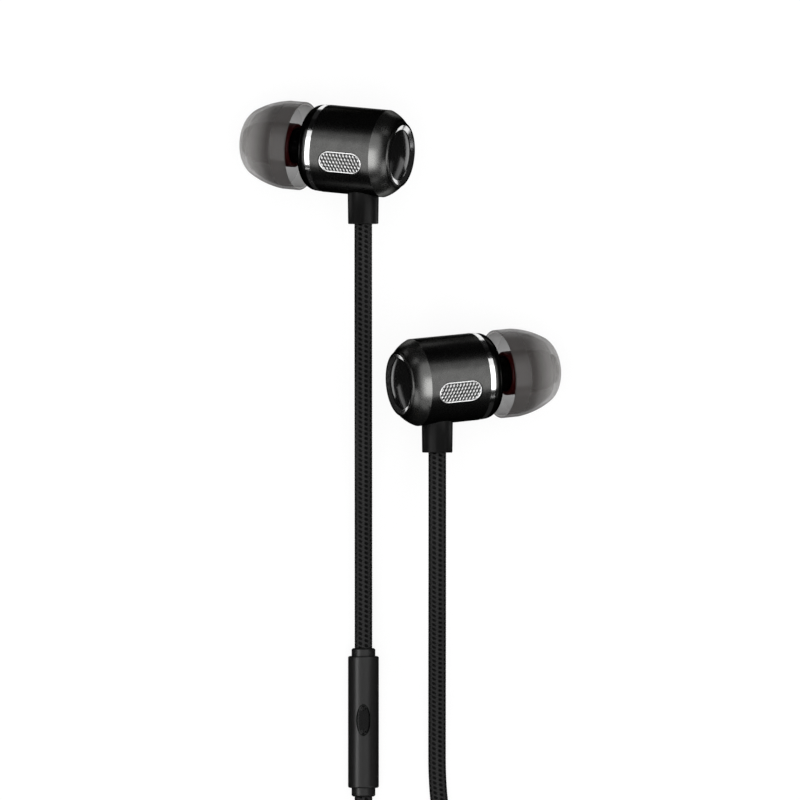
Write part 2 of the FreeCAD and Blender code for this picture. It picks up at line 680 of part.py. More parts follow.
def cords():
    low_layer = CORD_RADIUS
    high_layer = CORD_RADIUS + 2 * TURN_PITCH
    lane = TURN_PITCH / 2
    level = CROSSING.z
    left_exit = Vec(-STEM_X, CROSSING.y - RELIEF_END, level)
    right_exit = Vec(STEM_X, CROSSING.y - PAIR_STEP - RELIEF_END, level)
    remote_top = Vec(-STEM_X, REMOTE_TOP + UPPER_COLLAR, REMOTE_RADIUS)
    remote_end = Vec(-STEM_X, REMOTE_TOP - REMOTE_LENGTH - LOWER_COLLAR, REMOTE_RADIUS)
    yield "left_cord_upper", free_cord("left_cord_upper", [
        left_exit, Vec(-STEM_X, 0, level), Vec(-STEM_X, -10, 9.9), Vec(-STEM_X, -22, 6.6),
        Vec(-STEM_X, -33, 3.6), Vec(-STEM_X, -43, REMOTE_RADIUS), remote_top])

    inner = PAIR_RADIUS - lane
    start = coil_start(inner, PAIR_START, high_layer)
    yield "left_cord_lower", free_cord("left_cord_lower", [
        remote_end, Vec(-STEM_X, -77, REMOTE_RADIUS), Vec(-3.2, -83.5, 1.5), Vec(3, -88.2, 1.6),
        Vec(10, -91.2, 3.6), Vec(15.6, -96.5, 6.4), Vec(start.x, -104.5, high_layer), start])
    yield "left_cord_coil", coil_cord("left_cord_coil", inner, PAIR_TURNS, 2 * TURN_PITCH,
                                      high_layer, PAIR_START)

    outer = PAIR_RADIUS + lane
    start = coil_start(outer, PAIR_START, high_layer)
    yield "right_cord", free_cord("right_cord", [
        right_exit, Vec(STEM_X, -32, level), Vec(STEM_X, -42, 9.6), Vec(STEM_X, -53, 4.8),
        Vec(STEM_X, -62, 1.6), Vec(STEM_X, -72, low_layer), Vec(6.4, -79, 1.4), Vec(11.2, -85, 2.4),
        Vec(17.2, -90.8, 5.2), Vec(20.5, -98.5, 7.1), Vec(start.x, -106, high_layer), start])
    yield "right_cord_coil", coil_cord("right_cord_coil", outer, PAIR_TURNS, 2 * TURN_PITCH,
                                       high_layer, PAIR_START)

    wide_end = SPLITTER_X + SPLITTER_LENGTH / 2
    narrow_end = SPLITTER_X - SPLITTER_LENGTH / 2
    low = SPLITTER_HEIGHT / 2
    yield "left_cord_tail", free_cord("left_cord_tail", [
        coil_end(inner, PAIR_TURNS, PAIR_START, high_layer, 0),
        coil_end(inner, PAIR_TURNS, PAIR_START, high_layer, 5),
        Vec(19.6, -129.5, 9.4), Vec(18, -136.6, 7), Vec(14, -141, 4),
        Vec(9.4, SPLITTER_Y + lane, low), Vec(wide_end, SPLITTER_Y + lane, low)])
    yield "right_cord_tail", free_cord("right_cord_tail", [
        coil_end(outer, PAIR_TURNS, PAIR_START, high_layer, 0),
        coil_end(outer, PAIR_TURNS, PAIR_START, high_layer, 5.5),
        Vec(22.7, -130.5, 9.4), Vec(21.2, -138.8, 7), Vec(16, -144, 3.8),
        Vec(10, SPLITTER_Y - lane, low), Vec(wide_end, SPLITTER_Y - lane, low)])

    start = coil_start(COIL_RADIUS, TRUNK_START, low_layer)
    yield "trunk_cord_lead", free_cord("trunk_cord_lead", [
        Vec(narrow_end, SPLITTER_Y, low), Vec(-14.6, SPLITTER_Y, low), Vec(-20.8, -140.5, 1.35),
        Vec(-23.1, -133.3, low_layer), Vec(start.x, -124.2, low_layer), start])
    yield "trunk_cord_coil", coil_cord("trunk_cord_coil", COIL_RADIUS, TRUNK_TURNS, TURN_PITCH,
                                       low_layer, TRUNK_START)
    yield "trunk_cord_tail", free_cord("trunk_cord_tail", [
        coil_end(COIL_RADIUS, TRUNK_TURNS, TRUNK_START, low_layer, 0),
        coil_end(COIL_RADIUS, TRUNK_TURNS, TRUNK_START, low_layer, 5),
        Vec(-24.4, -122.6, 4.8), Vec(PLUG_X, -116.2, PLUG_RADIUS), Vec(PLUG_X, PLUG_START, PLUG_RADIUS)])


# Remote, with its axis along Y

def on_remote(shape):
    """Places a piece turned about X so that it runs down the cord from the remote's top."""
    return framed(shape, Vec(-STEM_X, REMOTE_TOP, REMOTE_RADIUS), Vec(0, -1, 0), Vec(1, 0, 0))


def button_prism(length, width, bottom, top):
    """An upright prism with the button's oval outline, its heights measured from the remote's axis."""
    oval = Part.Ellipse(Vec(0, 0, bottom), length / 2, width / 2).toShape()
    prism = Part.Face(Part.Wire([oval])).extrude(Vec(0, 0, top - bottom))
    return framed(prism, Vec(-STEM_X, BUTTON_AT, REMOTE_RADIUS), Vec(0, 1, 0), Vec(-1, 0, 0))


def remote_shell():
    inner = REMOTE_RADIUS - REMOTE_WALL
    rise = REMOTE_ROUND * QUARTER_BULGE
    tube = (Outline(0, inner)
            .line(0, REMOTE_RADIUS - REMOTE_ROUND)
            .bulge(REMOTE_ROUND, REMOTE_RADIUS, rise)
            .line(REMOTE_LENGTH - REMOTE_ROUND, REMOTE_RADIUS)
            .bulge(REMOTE_LENGTH, REMOTE_RADIUS - REMOTE_ROUND, rise)
            .line(REMOTE_LENGTH, inner)
            .turned())
    opening = button_prism(BUTTON_LENGTH + 2 * BUTTON_GAP, BUTTON_WIDTH + 2 * BUTTON_GAP,
                           0, REMOTE_RADIUS * 2)
    port = Part.makeCylinder(MIC_PORT, REMOTE_RADIUS, Vec(-STEM_X, MIC_AT, 0), Vec(0, 0, 1))
    return on_remote(tube).cut(opening).cut(port)


def collar(visible, start, way):
    """A collar that plugs one end of the remote; way is 1 towards the plug and -1 towards the ear."""
    inner = REMOTE_RADIUS - REMOTE_WALL - FIT_GAP
    end = start + way * visible
    turned = (Outline(start - way * COLLAR_SPIGOT, 0)
              .line(start - way * COLLAR_SPIGOT, inner)
              .line(start, inner)
              .line(start, COLLAR_RADIUS)
              .line(end - way * COLLAR_BEVEL, COLLAR_RADIUS)
              .line(end, COLLAR_RADIUS - COLLAR_BEVEL)
              .line(end, 0)
              .turned())
    return on_remote(turned)


def remote_collar_upper():
    return collar(UPPER_COLLAR, 0, -1)


def remote_collar_lower():
    return collar(LOWER_COLLAR, REMOTE_LENGTH, 1)


def remote_button():
    crown = on_remote(ring(0, REMOTE_LENGTH, 0, REMOTE_RADIUS + BUTTON_PROUD))
    cap = button_prism(BUTTON_LENGTH, BUTTON_WIDTH, BUTTON_LIP_TOP, REMOTE_RADIUS * 2).common(crown)
    lip = button_prism(BUTTON_LENGTH + 2 * BUTTON_LIP, BUTTON_WIDTH + 2 * BUTTON_LIP,
                       BUTTON_LIP_TOP - BUTTON_LIP_THICKNESS, BUTTON_LIP_TOP)
    return cap.fuse(lip).removeSplitter()


def remote_board():
    middle = REMOTE_TOP - REMOTE_LENGTH / 2
    return Part.makeBox(BOARD_WIDTH, BOARD_LENGTH, REMOTE_BOARD_THICKNESS,
                        Vec(-STEM_X - BOARD_WIDTH / 2, middle - BOARD_LENGTH / 2,
                            REMOTE_RADIUS - REMOTE_BOARD_THICKNESS))


def remote_switch():
    return Part.makeBox(SWITCH_WIDTH, SWITCH_LENGTH, SWITCH_HEIGHT,
                        Vec(-STEM_X - SWITCH_WIDTH / 2, BUTTON_AT - SWITCH_LENGTH / 2, REMOTE_RADIUS))


def microphone_capsule():
    top = REMOTE_RADIUS - REMOTE_BOARD_THICKNESS
    return Part.makeCylinder(MIC_RADIUS, MIC_HEIGHT, Vec(-STEM_X, MIC_AT, top - MIC_HEIGHT), Vec(0, 0, 1))


REMOTE_PIECES = {"remote_shell": remote_shell, "remote_collar_upper": remote_collar_upper,
                 "remote_collar_lower": remote_collar_lower, "remote_button": remote_button,
                 "remote_board": remote_board, "remote_switch": remote_switch,
                 "microphone_capsule": microphone_capsule}


def splitter():
    """A flat moulding that takes the two branches at its wide end and the trunk at its narrow one."""
    def outline(x, width):
        radius = SPLITTER_HEIGHT / 2
        half = width / 2 - radius
        near = SPLITTER_Y - half
        far = SPLITTER_Y + half
        return Part.Wire([Part.LineSegment(Vec(x, near, 0), Vec(x, far, 0)).toShape(),
                          Part.Arc(Vec(x, far, 0), Vec(x, far + radius, radius),
                                   Vec(x, far, 2 * radius)).toShape(),
                          Part.LineSegment(Vec(x, far, 2 * radius), Vec(x, near, 2 * radius)).toShape(),
                          Part.Arc(Vec(x, near, 2 * radius), Vec(x, near - radius, radius),
                                   Vec(x, near, 0)).toShape()])
    wide_end = SPLITTER_X + SPLITTER_LENGTH / 2
    narrow_end = SPLITTER_X - SPLITTER_LENGTH / 2
    body = Part.makeLoft([outline(wide_end, SPLITTER_WIDTH), outline(narrow_end, SPLITTER_NARROW)],
                         True, True)
    rims = [edge for edge in body.Edges
            if min(abs(edge.CenterOfMass.x - end) for end in (wide_end, narrow_end)) < FIT_GAP]
    return body.makeFillet(SPLITTER_ROUND, rims)


# Plug, turned about its own axis from the cord's end

def on_plug(shape):
    return framed(shape, Vec(PLUG_X, PLUG_START, PLUG_RADIUS), Vec(0, 1, 0), Vec(-1, 0, 0))


def pin_station(part):
    """Places along the plug of the pin's contacts and insulators."""
    face = PLUG_RELIEF + PLUG_BARREL
    places = {"face": face, "sleeve": face + PIN_SLEEVE}
    places["first_band"] = places["sleeve"] + PIN_INSULATOR
    places["second_band"] = places["first_band"] + PIN_BAND + PIN_INSULATOR
    places["tip"] = places["second_band"] + PIN_BAND + PIN_INSULATOR
    places["end"] = face + PIN_LENGTH
    return places[part]


def plug_barrel():
    start = PLUG_RELIEF
    face = pin_station("face")
    inner = PLUG_RADIUS - PLUG_WALL
    return on_plug(Outline(start, inner)
                   .line(start, PLUG_RADIUS - PLUG_BEVEL)
                   .line(start + PLUG_BEVEL, PLUG_RADIUS)
                   .line(face - PLUG_BEVEL, PLUG_RADIUS)
                   .line(face, PLUG_RADIUS - PLUG_BEVEL)
                   .line(face, PIN_NECK + FIT_GAP)
                   .line(face - PLUG_FACE, PIN_NECK + FIT_GAP)
                   .line(face - PLUG_FACE, inner)
                   .turned())


def plug_relief():
    inner = PLUG_RADIUS - PLUG_WALL - FIT_GAP
    return on_plug(Outline(0, 0)
                   .line(0, PLUG_RELIEF_NARROW)
                   .line(PLUG_RELIEF, PLUG_RELIEF_WIDE)
                   .line(PLUG_RELIEF, inner)
                   .line(PLUG_RELIEF + PLUG_RELIEF_FLANGE, inner)
                   .line(PLUG_RELIEF + PLUG_RELIEF_FLANGE, 0)
                   .turned())


def plug_sleeve_contact():
    face = pin_station("face")
    seat = face - PLUG_FACE
    flange = PLUG_RADIUS - PLUG_WALL - FIT_GAP
    return on_plug(Outline(seat - PLUG_FACE, PIN_INNER)
                   .line(seat - PLUG_FACE, flange)
                   .line(seat, flange)
                   .line(seat, PIN_NECK)
                   .line(face, PIN_NECK)
                   .line(face, PIN_RADIUS)
                   .line(pin_station("sleeve"), PIN_RADIUS)
                   .line(pin_station("sleeve"), PIN_INNER)
                   .turned())


def plug_ring_contacts():
    bands = [ring(pin_station(name), pin_station(name) + PIN_BAND, PIN_INNER, PIN_RADIUS)
             for name in ("first_band", "second_band")]
    return on_plug(Part.makeCompound(bands))


def plug_insulators():
    back = pin_station("face") - INSULATOR_TAIL
    first = pin_station("sleeve")
    second = pin_station("second_band") - PIN_INSULATOR
    third = pin_station("tip") - PIN_INSULATOR
    body = Outline(back, PIN_CORE).line(back, PIN_INNER)
    for start in (first, second, third):
        body.line(start, PIN_INNER).line(start, PIN_RADIUS)
        body.line(start + PIN_INSULATOR, PIN_RADIUS)
        if start != third:
            body.line(start + PIN_INSULATOR, PIN_INNER)
    return on_plug(body.line(pin_station("tip"), PIN_CORE).turned())


def plug_tip_contact():
    back = pin_station("face") - PIN_TAIL
    start = pin_station("tip")
    end = pin_station("end")
    return on_plug(Outline(back, 0)
                   .line(back, PIN_CORE)
                   .line(start, PIN_CORE)
                   .line(start, PIN_RADIUS)
                   .line(start + TIP_LAND, PIN_RADIUS)
                   .line(start + TIP_GROOVE[0], TIP_WAIST)
                   .line(start + TIP_GROOVE[1], TIP_WAIST)
                   .bulge(start + TIP_CREST_AT, TIP_CREST, TIP_CREST_BULGE)
                   .line(end - TIP_BEVEL, TIP_TAPER_RADIUS)
                   .line(end, TIP_TAPER_RADIUS - TIP_BEVEL)
                   .line(end, 0)
                   .turned())


PLUG_PIECES = {"plug_barrel": plug_barrel, "plug_relief": plug_relief,
               "plug_sleeve_contact": plug_sleeve_contact, "plug_ring_contacts": plug_ring_contacts,
               "plug_insulators": plug_insulators, "plug_tip_contact": plug_tip_contact}


def save(name, shape):
    if not shape.isValid():
        print(f"{name}: not a valid shape")
    shape.exportStep(f"parts/{name}.step")


def main():
    os.makedirs("parts", exist_ok=True)
    print(f"stem and barrel cross at y {CROSSING.y:.3f}, z {CROSSING.z:.3f} mm")
    for name, make in EAR_PIECES.items():
        local = make()
        for side in ("left", "right"):
            save(f"{name}_{side}", lay_ear_piece(local, side))
    for pieces in (REMOTE_PIECES, PLUG_PIECES):
        for name, make in pieces.items():
            save(name, make())
    save("splitter", splitter())
    for name, shape in cords():
        save(name, shape)


main()
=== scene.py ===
import math

import bpy
import numpy as np
from mathutils import Matrix, Vector


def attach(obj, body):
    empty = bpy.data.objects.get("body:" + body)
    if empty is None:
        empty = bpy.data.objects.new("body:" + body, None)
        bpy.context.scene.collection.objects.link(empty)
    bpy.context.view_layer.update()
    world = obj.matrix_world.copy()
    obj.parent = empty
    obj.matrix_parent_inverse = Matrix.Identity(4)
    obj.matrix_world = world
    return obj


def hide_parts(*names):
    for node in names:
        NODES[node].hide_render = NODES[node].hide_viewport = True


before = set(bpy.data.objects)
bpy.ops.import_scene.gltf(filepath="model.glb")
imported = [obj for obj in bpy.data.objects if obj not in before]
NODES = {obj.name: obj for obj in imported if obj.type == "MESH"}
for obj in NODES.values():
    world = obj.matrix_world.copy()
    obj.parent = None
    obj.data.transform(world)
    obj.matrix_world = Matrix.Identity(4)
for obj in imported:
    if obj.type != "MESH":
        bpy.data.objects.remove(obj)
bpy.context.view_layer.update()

MM = 0.001

# Sizes of the part that several pieces share, in metres

CORD_DIAMETER = 2.5 * MM
CORD_RADIUS = CORD_DIAMETER / 2
TURN_PITCH = 2.95 * MM
STEM_X = 5.14 * MM
STEM_LEVEL = 10.954 * MM
STEM_CROSSING_Y = 17.310 * MM
PAIR_STEP = 31.75 * MM
REMOTE_RADIUS = 2.15 * MM
LOW_LAYER = CORD_RADIUS
HIGH_LAYER = CORD_RADIUS + 2 * TURN_PITCH

# Camera, straight above the ear pieces and the remote

FRAME_WIDTH = 111.1 * MM  # what the picture takes in from side to side, at the stems' level
CAMERA_X = -0.035 * MM
CAMERA_Y = -17.19 * MM
CAMERA_REACH = 20
LENS_MM = 500
SENSOR_MM = 36


def add_object(name, data):
    """A new object in the scene."""
    made = bpy.data.objects.new(name, data)
    bpy.context.scene.collection.objects.link(made)
    return made


def add_camera():
    lens = bpy.data.cameras.new("camera")
    lens.lens = LENS_MM
    lens.sensor_width = SENSOR_MM
    lens.clip_end = CAMERA_REACH
    camera = add_object("camera", lens)
    camera.location = (CAMERA_X, CAMERA_Y, STEM_LEVEL + FRAME_WIDTH * LENS_MM / SENSOR_MM)
    bpy.context.scene.camera = camera


add_camera()


# Meshes

ROUND_STEPS = 128  # points round a turned piece
SMALL_ROUND_STEPS = 96  # and round a thin one
AXIS_RADIUS = 1e-9  # a turned outline's point nearer than this is on the axis
SHORTEST_ARC = 1e-6  # a corner with less room than this stays sharp
CORNER_SHARE = 0.45  # most of a side that the arc at one of its ends takes


def add_mesh(name, verts, faces, materials, slot=None, body="earphones", sharp=35):
    """A smooth-shaded piece that rides on a body, with its edges sharper than the angle kept sharp."""
    mesh = bpy.data.meshes.new(name)
    mesh.from_pydata([tuple(v) for v in verts], [], faces)
    for material in materials:
        mesh.materials.append(material)
    mesh.shade_smooth()
    if sharp:
        mesh.set_sharp_from_angle(angle=math.radians(sharp))
    mesh.update()
    piece = add_object(name, mesh)
    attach(piece, body)
    return piece


def grid_faces(rows, columns, closed_rows=False, closed_columns=True):
    """Quads over a grid of points that is numbered row by row."""
    row_ids = np.arange(rows if closed_rows else rows - 1)
    column_ids = np.arange(columns if closed_columns else columns - 1)
    row, column = np.meshgrid(row_ids, column_ids, indexing="ij")
    next_row = (row + 1) % rows
    next_column = (column + 1) % columns
    quads = np.stack([row * columns + column, row * columns + next_column,
                      next_row * columns + next_column, next_row * columns + column], axis=-1)
    return quads.reshape(-1, 4).tolist()


def capped_tube(rings):
    """Vertices and faces of a tube through rings of points, with a fan over each end."""
    rows, columns = rings.shape[:2]
    verts = np.concatenate([rings.reshape(-1, 3), [rings[0].mean(0)], [rings[-1].mean(0)]])
    faces = grid_faces(rows, columns)
    for step in range(columns):
        after = (step + 1) % columns
        faces.append([rows * columns, after, step])
        faces.append([rows * columns + 1, (rows - 1) * columns + step, (rows - 1) * columns + after])
    return verts, faces


def rounded(outline, radius, steps=3):
    """A closed outline of (u, r) points in which each corner off the axis is replaced by a small arc."""
    points = [np.array(p, float) for p in outline]
    result = []
    for before, corner, after in zip(points[-1:] + points[:-1], points, points[1:] + points[:1]):
        back = before - corner
        ahead = after - corner
        reach = min(radius, CORNER_SHARE * np.linalg.norm(back), CORNER_SHARE * np.linalg.norm(ahead))
        if corner[1] < AXIS_RADIUS or reach < SHORTEST_ARC:
            result.append(corner)
            continue
        start = corner + back / np.linalg.norm(back) * reach
        end = corner + ahead / np.linalg.norm(ahead) * reach
        for step in range(steps + 1):
            t = step / steps
            result.append(start * (1 - t) ** 2 + corner * 2 * t * (1 - t) + end * t ** 2)
    return result


def bulge(start, end, rise, steps=16):
    """Points of an arc from start to end whose middle stands out by rise from the straight line."""
    start = np.array(start, float)
    end = np.array(end, float)
    chord = end - start
    out = np.array([-chord[1], chord[0]]) / np.linalg.norm(chord)
    share = np.linspace(0, 1, steps + 1)[1:, None]
    return list(start + chord * share + out * rise * 4 * share * (1 - share))


def turned(outline, steps=ROUND_STEPS):
    """Turns a closed outline of (u, r) points about the U axis; a point on the axis is one vertex."""
    points = np.array(outline, float)
    following = np.roll(points, -1, axis=0)
    area = float((points[:, 0] * following[:, 1] - following[:, 0] * points[:, 1]).sum())
    angles = np.linspace(0, 2 * math.pi, steps, endpoint=False)
    verts = []
    ids = []
    for u, r in points if area < 0 else points[::-1]:
        if r < AXIS_RADIUS:
            ids.append([len(verts)] * steps)
            verts.append((u, 0, 0))
        else:
            ids.append(list(range(len(verts), len(verts) + steps)))
            verts += [(u, r * math.cos(a), r * math.sin(a)) for a in angles]
    faces = []
    for here, there in zip(ids, ids[1:] + ids[:1]):
        for step in range(steps):
            after = (step + 1) % steps
            face = [here[step], there[step], there[after], here[after]]
            corners = list(dict.fromkeys(face))
            if len(corners) > 2:
                faces.append(corners)
    return np.array(verts, float), faces


# Frames that the turned pieces are laid in

# They take a point of the ear piece, the stem or the plug in millimetres to the part's own in metres
STEM_AT = 7.65
STEM_LEAN = math.radians(5.25)
CAP_RISE = math.radians(24)
PLUG_START = np.array([-26, -112.5, 2.95])


def ear_axes():
    """The left barrel's axis towards its cap, the way up beside it, and the way out towards the camera."""
    lean = math.sin(STEM_LEAN)
    rise = math.sin(CAP_RISE)
    along = np.array([math.sqrt(1 - lean ** 2 - rise ** 2), -lean, rise])
    beside = (np.array([0, 1, 0]) + along * lean) / math.cos(STEM_LEAN)
    return along, beside, np.cross(along, beside)


def on_ear(verts, faces, side):
    """Lays points given in the ear piece's own frame; the right ear piece mirrors the left one."""
    along, beside, out = ear_axes()
    crossing = np.array([-STEM_X, STEM_CROSSING_Y, STEM_LEVEL]) / MM
    placed = crossing + (verts - [STEM_AT, 0, 0]) @ np.array([along, beside, out])
    if side == "right":
        placed = placed * [-1, 1, 1] - [0, PAIR_STEP / MM, 0]
        faces = [face[::-1] for face in faces]
    return placed * MM, faces


def on_stem(verts):
    """Points about the stem's axis, in the ear piece's own frame."""
    down = np.array([math.sin(STEM_LEAN), -math.cos(STEM_LEAN), 0])
    axes = np.array([down, [-down[1], down[0], 0], [0, 0, 1]])
    return verts @ axes + [STEM_AT, 0, 0]


def on_plug(verts):
    """Points about the plug's axis, from the cord's end of its relief."""
    return (verts @ np.array([[0, 1, 0], [-1, 0, 0], [0, 0, 1]]) + PLUG_START) * MM


# Materials

BODY_IOR = 1.45  # of plastic, rubber and lacquer
GRAIN_DETAIL = 3
PATCH_DETAIL = 2
PATCH_GRAINS = 9  # how many grains wide a patch of one tone is
TONE_SPAN = (0.35, 0.65)  # of the patches' noise, over which the tone goes from dark to full
ROUGH_SPAN = (0.3, 0.7)  # of the grain's noise, over which the roughness varies


def noise(nodes, links, place, size, detail):
    """Noise of a size in metres, fixed to the object."""
    texture = nodes.new("ShaderNodeTexNoise")
    texture.inputs["Scale"].default_value = 1 / size
    texture.inputs["Detail"].default_value = detail
    links.new(place, texture.inputs["Vector"])
    return texture.outputs["Fac"]


def map_range(nodes, links, value, span, results):
    """A value that goes from one result to the other over a span, and stays there beyond it."""
    node = nodes.new("ShaderNodeMapRange")
    for key, number in zip(("From Min", "From Max", "To Min", "To Max"), (*span, *results)):
        node.inputs[key].default_value = number
    links.new(value, node.inputs["Value"])
    return node.outputs["Result"]


def colour_range(nodes, links, value, span, colours):
    """A colour that goes from one to the other over a span of a value."""
    node = nodes.new("ShaderNodeValToRGB")
    for end in (0, 1):
        node.color_ramp.elements[end].position = span[end]
        node.color_ramp.elements[end].color = (*colours[end], 1)
    links.new(value, node.inputs["Fac"])
    return node.outputs["Color"]


def new_material(name):
    """A material, its nodes and links, and its shader."""
    material = bpy.data.materials.new(name)
    material.use_nodes = True
    nodes = material.node_tree.nodes
    return material, nodes, material.node_tree.links, nodes["Principled BSDF"]


def surface(name, colour, roughness, grain, height, metallic=0.0, dark=0.85, spread=0.04, **inputs):
    """A Principled material with real-scale grain: its size in metres, its height as bump, a slight
    change of tone over larger patches and a roughness that varies by spread."""
    material, nodes, links, shader = new_material(name)
    shader.inputs["Metallic"].default_value = metallic
    shader.inputs["IOR"].default_value = BODY_IOR
    for key, value in inputs.items():
        shader.inputs[key.replace("_", " ")].default_value = value
    place = nodes.new("ShaderNodeTexCoord").outputs["Object"]
    fine = noise(nodes, links, place, grain, GRAIN_DETAIL)
    broad = noise(nodes, links, place, grain * PATCH_GRAINS, PATCH_DETAIL)
    tone = colour_range(nodes, links, broad, TONE_SPAN, ([c * dark for c in colour], colour))
    links.new(tone, shader.inputs["Base Color"])
    rough = map_range(nodes, links, fine, ROUGH_SPAN, (max(roughness - spread, 0), roughness + spread))
    links.new(rough, shader.inputs["Roughness"])
    bump = nodes.new("ShaderNodeBump")
    bump.inputs["Strength"].default_value = 1
    bump.inputs["Distance"].default_value = height
    links.new(fine, bump.inputs["Height"])
    links.new(bump.outputs["Normal"], shader.inputs["Normal"])
    return material


def grey(value):
    return (value, value, value)


CORE_DARK = (0.03, 0.002, 0.002)
CAP = surface("gloss_black_metal", (0.055, 0.055, 0.054), 0.2, 0.3 * MM, 0.0004 * MM, metallic=1,
              spread=0.02, Specular_Tint=(0.2, 0.2, 0.2, 1))
CHROME = surface("chrome", grey(0.82), 0.14, 0.2 * MM, 0.0004 * MM, metallic=1, dark=0.97, spread=0.02)
SCREEN = surface("screen_steel", grey(0.6), 0.25, 0.1 * MM, 0.001 * MM, metallic=1)
VENT_METAL = surface("vent_steel", grey(0.75), 0.3, 0.1 * MM, 0.001 * MM, metallic=1, dark=0.9)
VENT_BACK = surface("vent_backing", grey(0.01), 0.7, 0.1 * MM, 0.002 * MM)
DOME = surface("gloss_black", grey(0.004), 0.15, 0.4 * MM, 0.0003 * MM, spread=0.02)
FRAME_PLASTIC = surface("driver_plastic", grey(0.03), 0.45, 0.2 * MM, 0.002 * MM)
FILM = surface("driver_film", (0.32, 0.24, 0.12), 0.2, 0.3 * MM, 0.001 * MM)
COPPER = surface("copper_wire", (0.72, 0.28, 0.13), 0.3, 0.08 * MM, 0.004 * MM, metallic=1)
STEEL = surface("plated_steel", grey(0.5), 0.3, 0.15 * MM, 0.001 * MM, metallic=1)
MAGNET = surface("nickel_magnet", grey(0.45), 0.35, 0.15 * MM, 0.002 * MM, metallic=1)
BOARD = surface("circuit_board", (0.01, 0.12, 0.04), 0.4, 0.2 * MM, 0.002 * MM)
RELIEF = surface("relief_rubber", grey(0.0035), 0.4, 0.18 * MM, 0.002 * MM, Specular_IOR_Level=0.25)
CORE = surface("core_rubber", CORE_DARK, 0.35, 0.25 * MM, 0.002 * MM, Specular_IOR_Level=0.3)
REMOTE = surface("remote_plastic", grey(0.006), 0.34, 0.15 * MM, 0.001 * MM, Specular_IOR_Level=0.9)
BUTTON = surface("button_plastic", grey(0.0025), 0.26, 0.15 * MM, 0.0015 * MM, Specular_IOR_Level=0.3)
SPLITTER = surface("splitter_rubber", grey(0.006), 0.42, 0.2 * MM, 0.003 * MM, Specular_IOR_Level=0.35)
PLUG = surface("plug_metal", (0.045, 0.045, 0.043), 0.24, 0.12 * MM, 0.0006 * MM, metallic=1,
               Specular_Tint=(0.3, 0.3, 0.3, 1))
GOLD = surface("contact_gold", (0.86, 0.62, 0.24), 0.14, 0.2 * MM, 0.0006 * MM, metallic=1, dark=0.95)
INSULATOR = surface("insulator_plastic", grey(0.012), 0.35, 0.2 * MM, 0.001 * MM)
TIP = surface("tip_silicone", (0.1, 0.092, 0.089), 0.22, 0.3 * MM, 0.0005 * MM, dark=0.95, spread=0.02,
              Alpha=0.38, Specular_IOR_Level=0.95)
BRAID = surface("braid", grey(0.012), 0.5, 0.05 * MM, 0.003 * MM, Specular_IOR_Level=0.16)


def absorb(material, colour, density):
    """Gives a clear material a body that darkens with the way through it, by a density per metre."""
    nodes = material.node_tree.nodes
    body = nodes.new("ShaderNodeVolumeAbsorption")
    body.inputs["Color"].default_value = (*colour, 1)
    body.inputs["Density"].default_value = density
    material.node_tree.links.new(body.outputs["Volume"], nodes["Material Output"].inputs["Volume"])


def paint_light_and_shade_by_lift(material, span, colours):
    """Paints light and shade into a material's colour, over a span of the share that its mesh keeps for each
    point as lift.
    """
    nodes = material.node_tree.nodes
    links = material.node_tree.links
    lift = nodes.new("ShaderNodeAttribute")
    lift.attribute_name = "lift"
    colour = colour_range(nodes, links, lift.outputs["Fac"], span, colours)
    links.new(colour, nodes["Principled BSDF"].inputs["Base Color"])


def keep_lift(piece, lift):
    """Keeps a share from 0 to 1 for each point of a piece's mesh."""
    shade = piece.data.attributes.new("lift", "FLOAT", "POINT")
    shade.data.foreach_set("value", np.asarray(lift, np.float32))


absorb(TIP, colour=(0.05, 0.045, 0.045), density=230)
# painted shade: the braid's colour goes near black down in the holes between its ribs
paint_light_and_shade_by_lift(BRAID, (0.35, 1), (grey(0.0004), grey(0.021)))
# painted shade: the vent's lower strands get a much darker colour than its raised knuckles
paint_light_and_shade_by_lift(VENT_METAL, (0, 0.6), (grey(0.1), grey(0.95)))
# painted light: the core's colour turns pale towards its front, inside the nose
paint_light_and_shade_by_lift(CORE, (0, 1), (CORE_DARK, (0.42, 0.4, 0.39)))
# painted light: the flange's colour turns pale on its thick nose and nearly white inside its skirt
paint_light_and_shade_by_lift(TIP, (0, 1), ((0.12, 0.11, 0.106), (0.9, 0.88, 0.86)))


# Finish of the barrels, with a painted highlight on the shoulders

BARREL_COLOUR = (0.085, 0.085, 0.083)
# brighter metal on the shoulder: partly a fine cut, partly a painted highlight
SHOULDER_CUT_AND_HIGHLIGHT_COLOUR = (0.23, 0.23, 0.225)
SHOULDER_HIGHLIGHT_FROM = 11.15  # along the barrel's axis, in millimetres
SHOULDER_HIGHLIGHT_FADE = ((0.08, 1), (1.2, 0.9), (2, 0))  # millimetres past that, and the share of the brighter finish and painted highlight

# A Mix node of colours has several sockets of each name, so they are taken by number
MIX_FACTOR = 0
MIX_FROM = 6
MIX_TO = 7
MIX_RESULT = 2


def shoulder_highlight_share(nodes, links, side):
    """How much of the shoulder's brighter finish and painted highlight a place has, by how far along the
    barrel's axis it lies.
    """
    start = SHOULDER_HIGHLIGHT_FROM
    places, _ = on_ear(np.array([[start, 0, 0], [start + 1, 0, 0]]), [], side)
    along = Vector(places[1] - places[0]).normalized()
    edge = along.dot(Vector(places[0]))
    length = SHOULDER_HIGHLIGHT_FADE[-1][0]
    reach = nodes.new("ShaderNodeVectorMath")
    reach.operation = "DOT_PRODUCT"
    reach.inputs[1].default_value = along
    links.new(nodes.new("ShaderNodeTexCoord").outputs["Object"], reach.inputs[0])
    beyond = map_range(nodes, links, reach.outputs["Value"], (edge, edge + length * MM), (0, 1))
    fade = nodes.new("ShaderNodeValToRGB")
    fade.color_ramp.elements.remove(fade.color_ramp.elements[1])
    for at, share in SHOULDER_HIGHLIGHT_FADE:
        stop = fade.color_ramp.elements.new(at / length)
        stop.color = (*grey(share), 1)
    links.new(beyond, fade.inputs["Fac"])
    return fade.outputs["Color"]


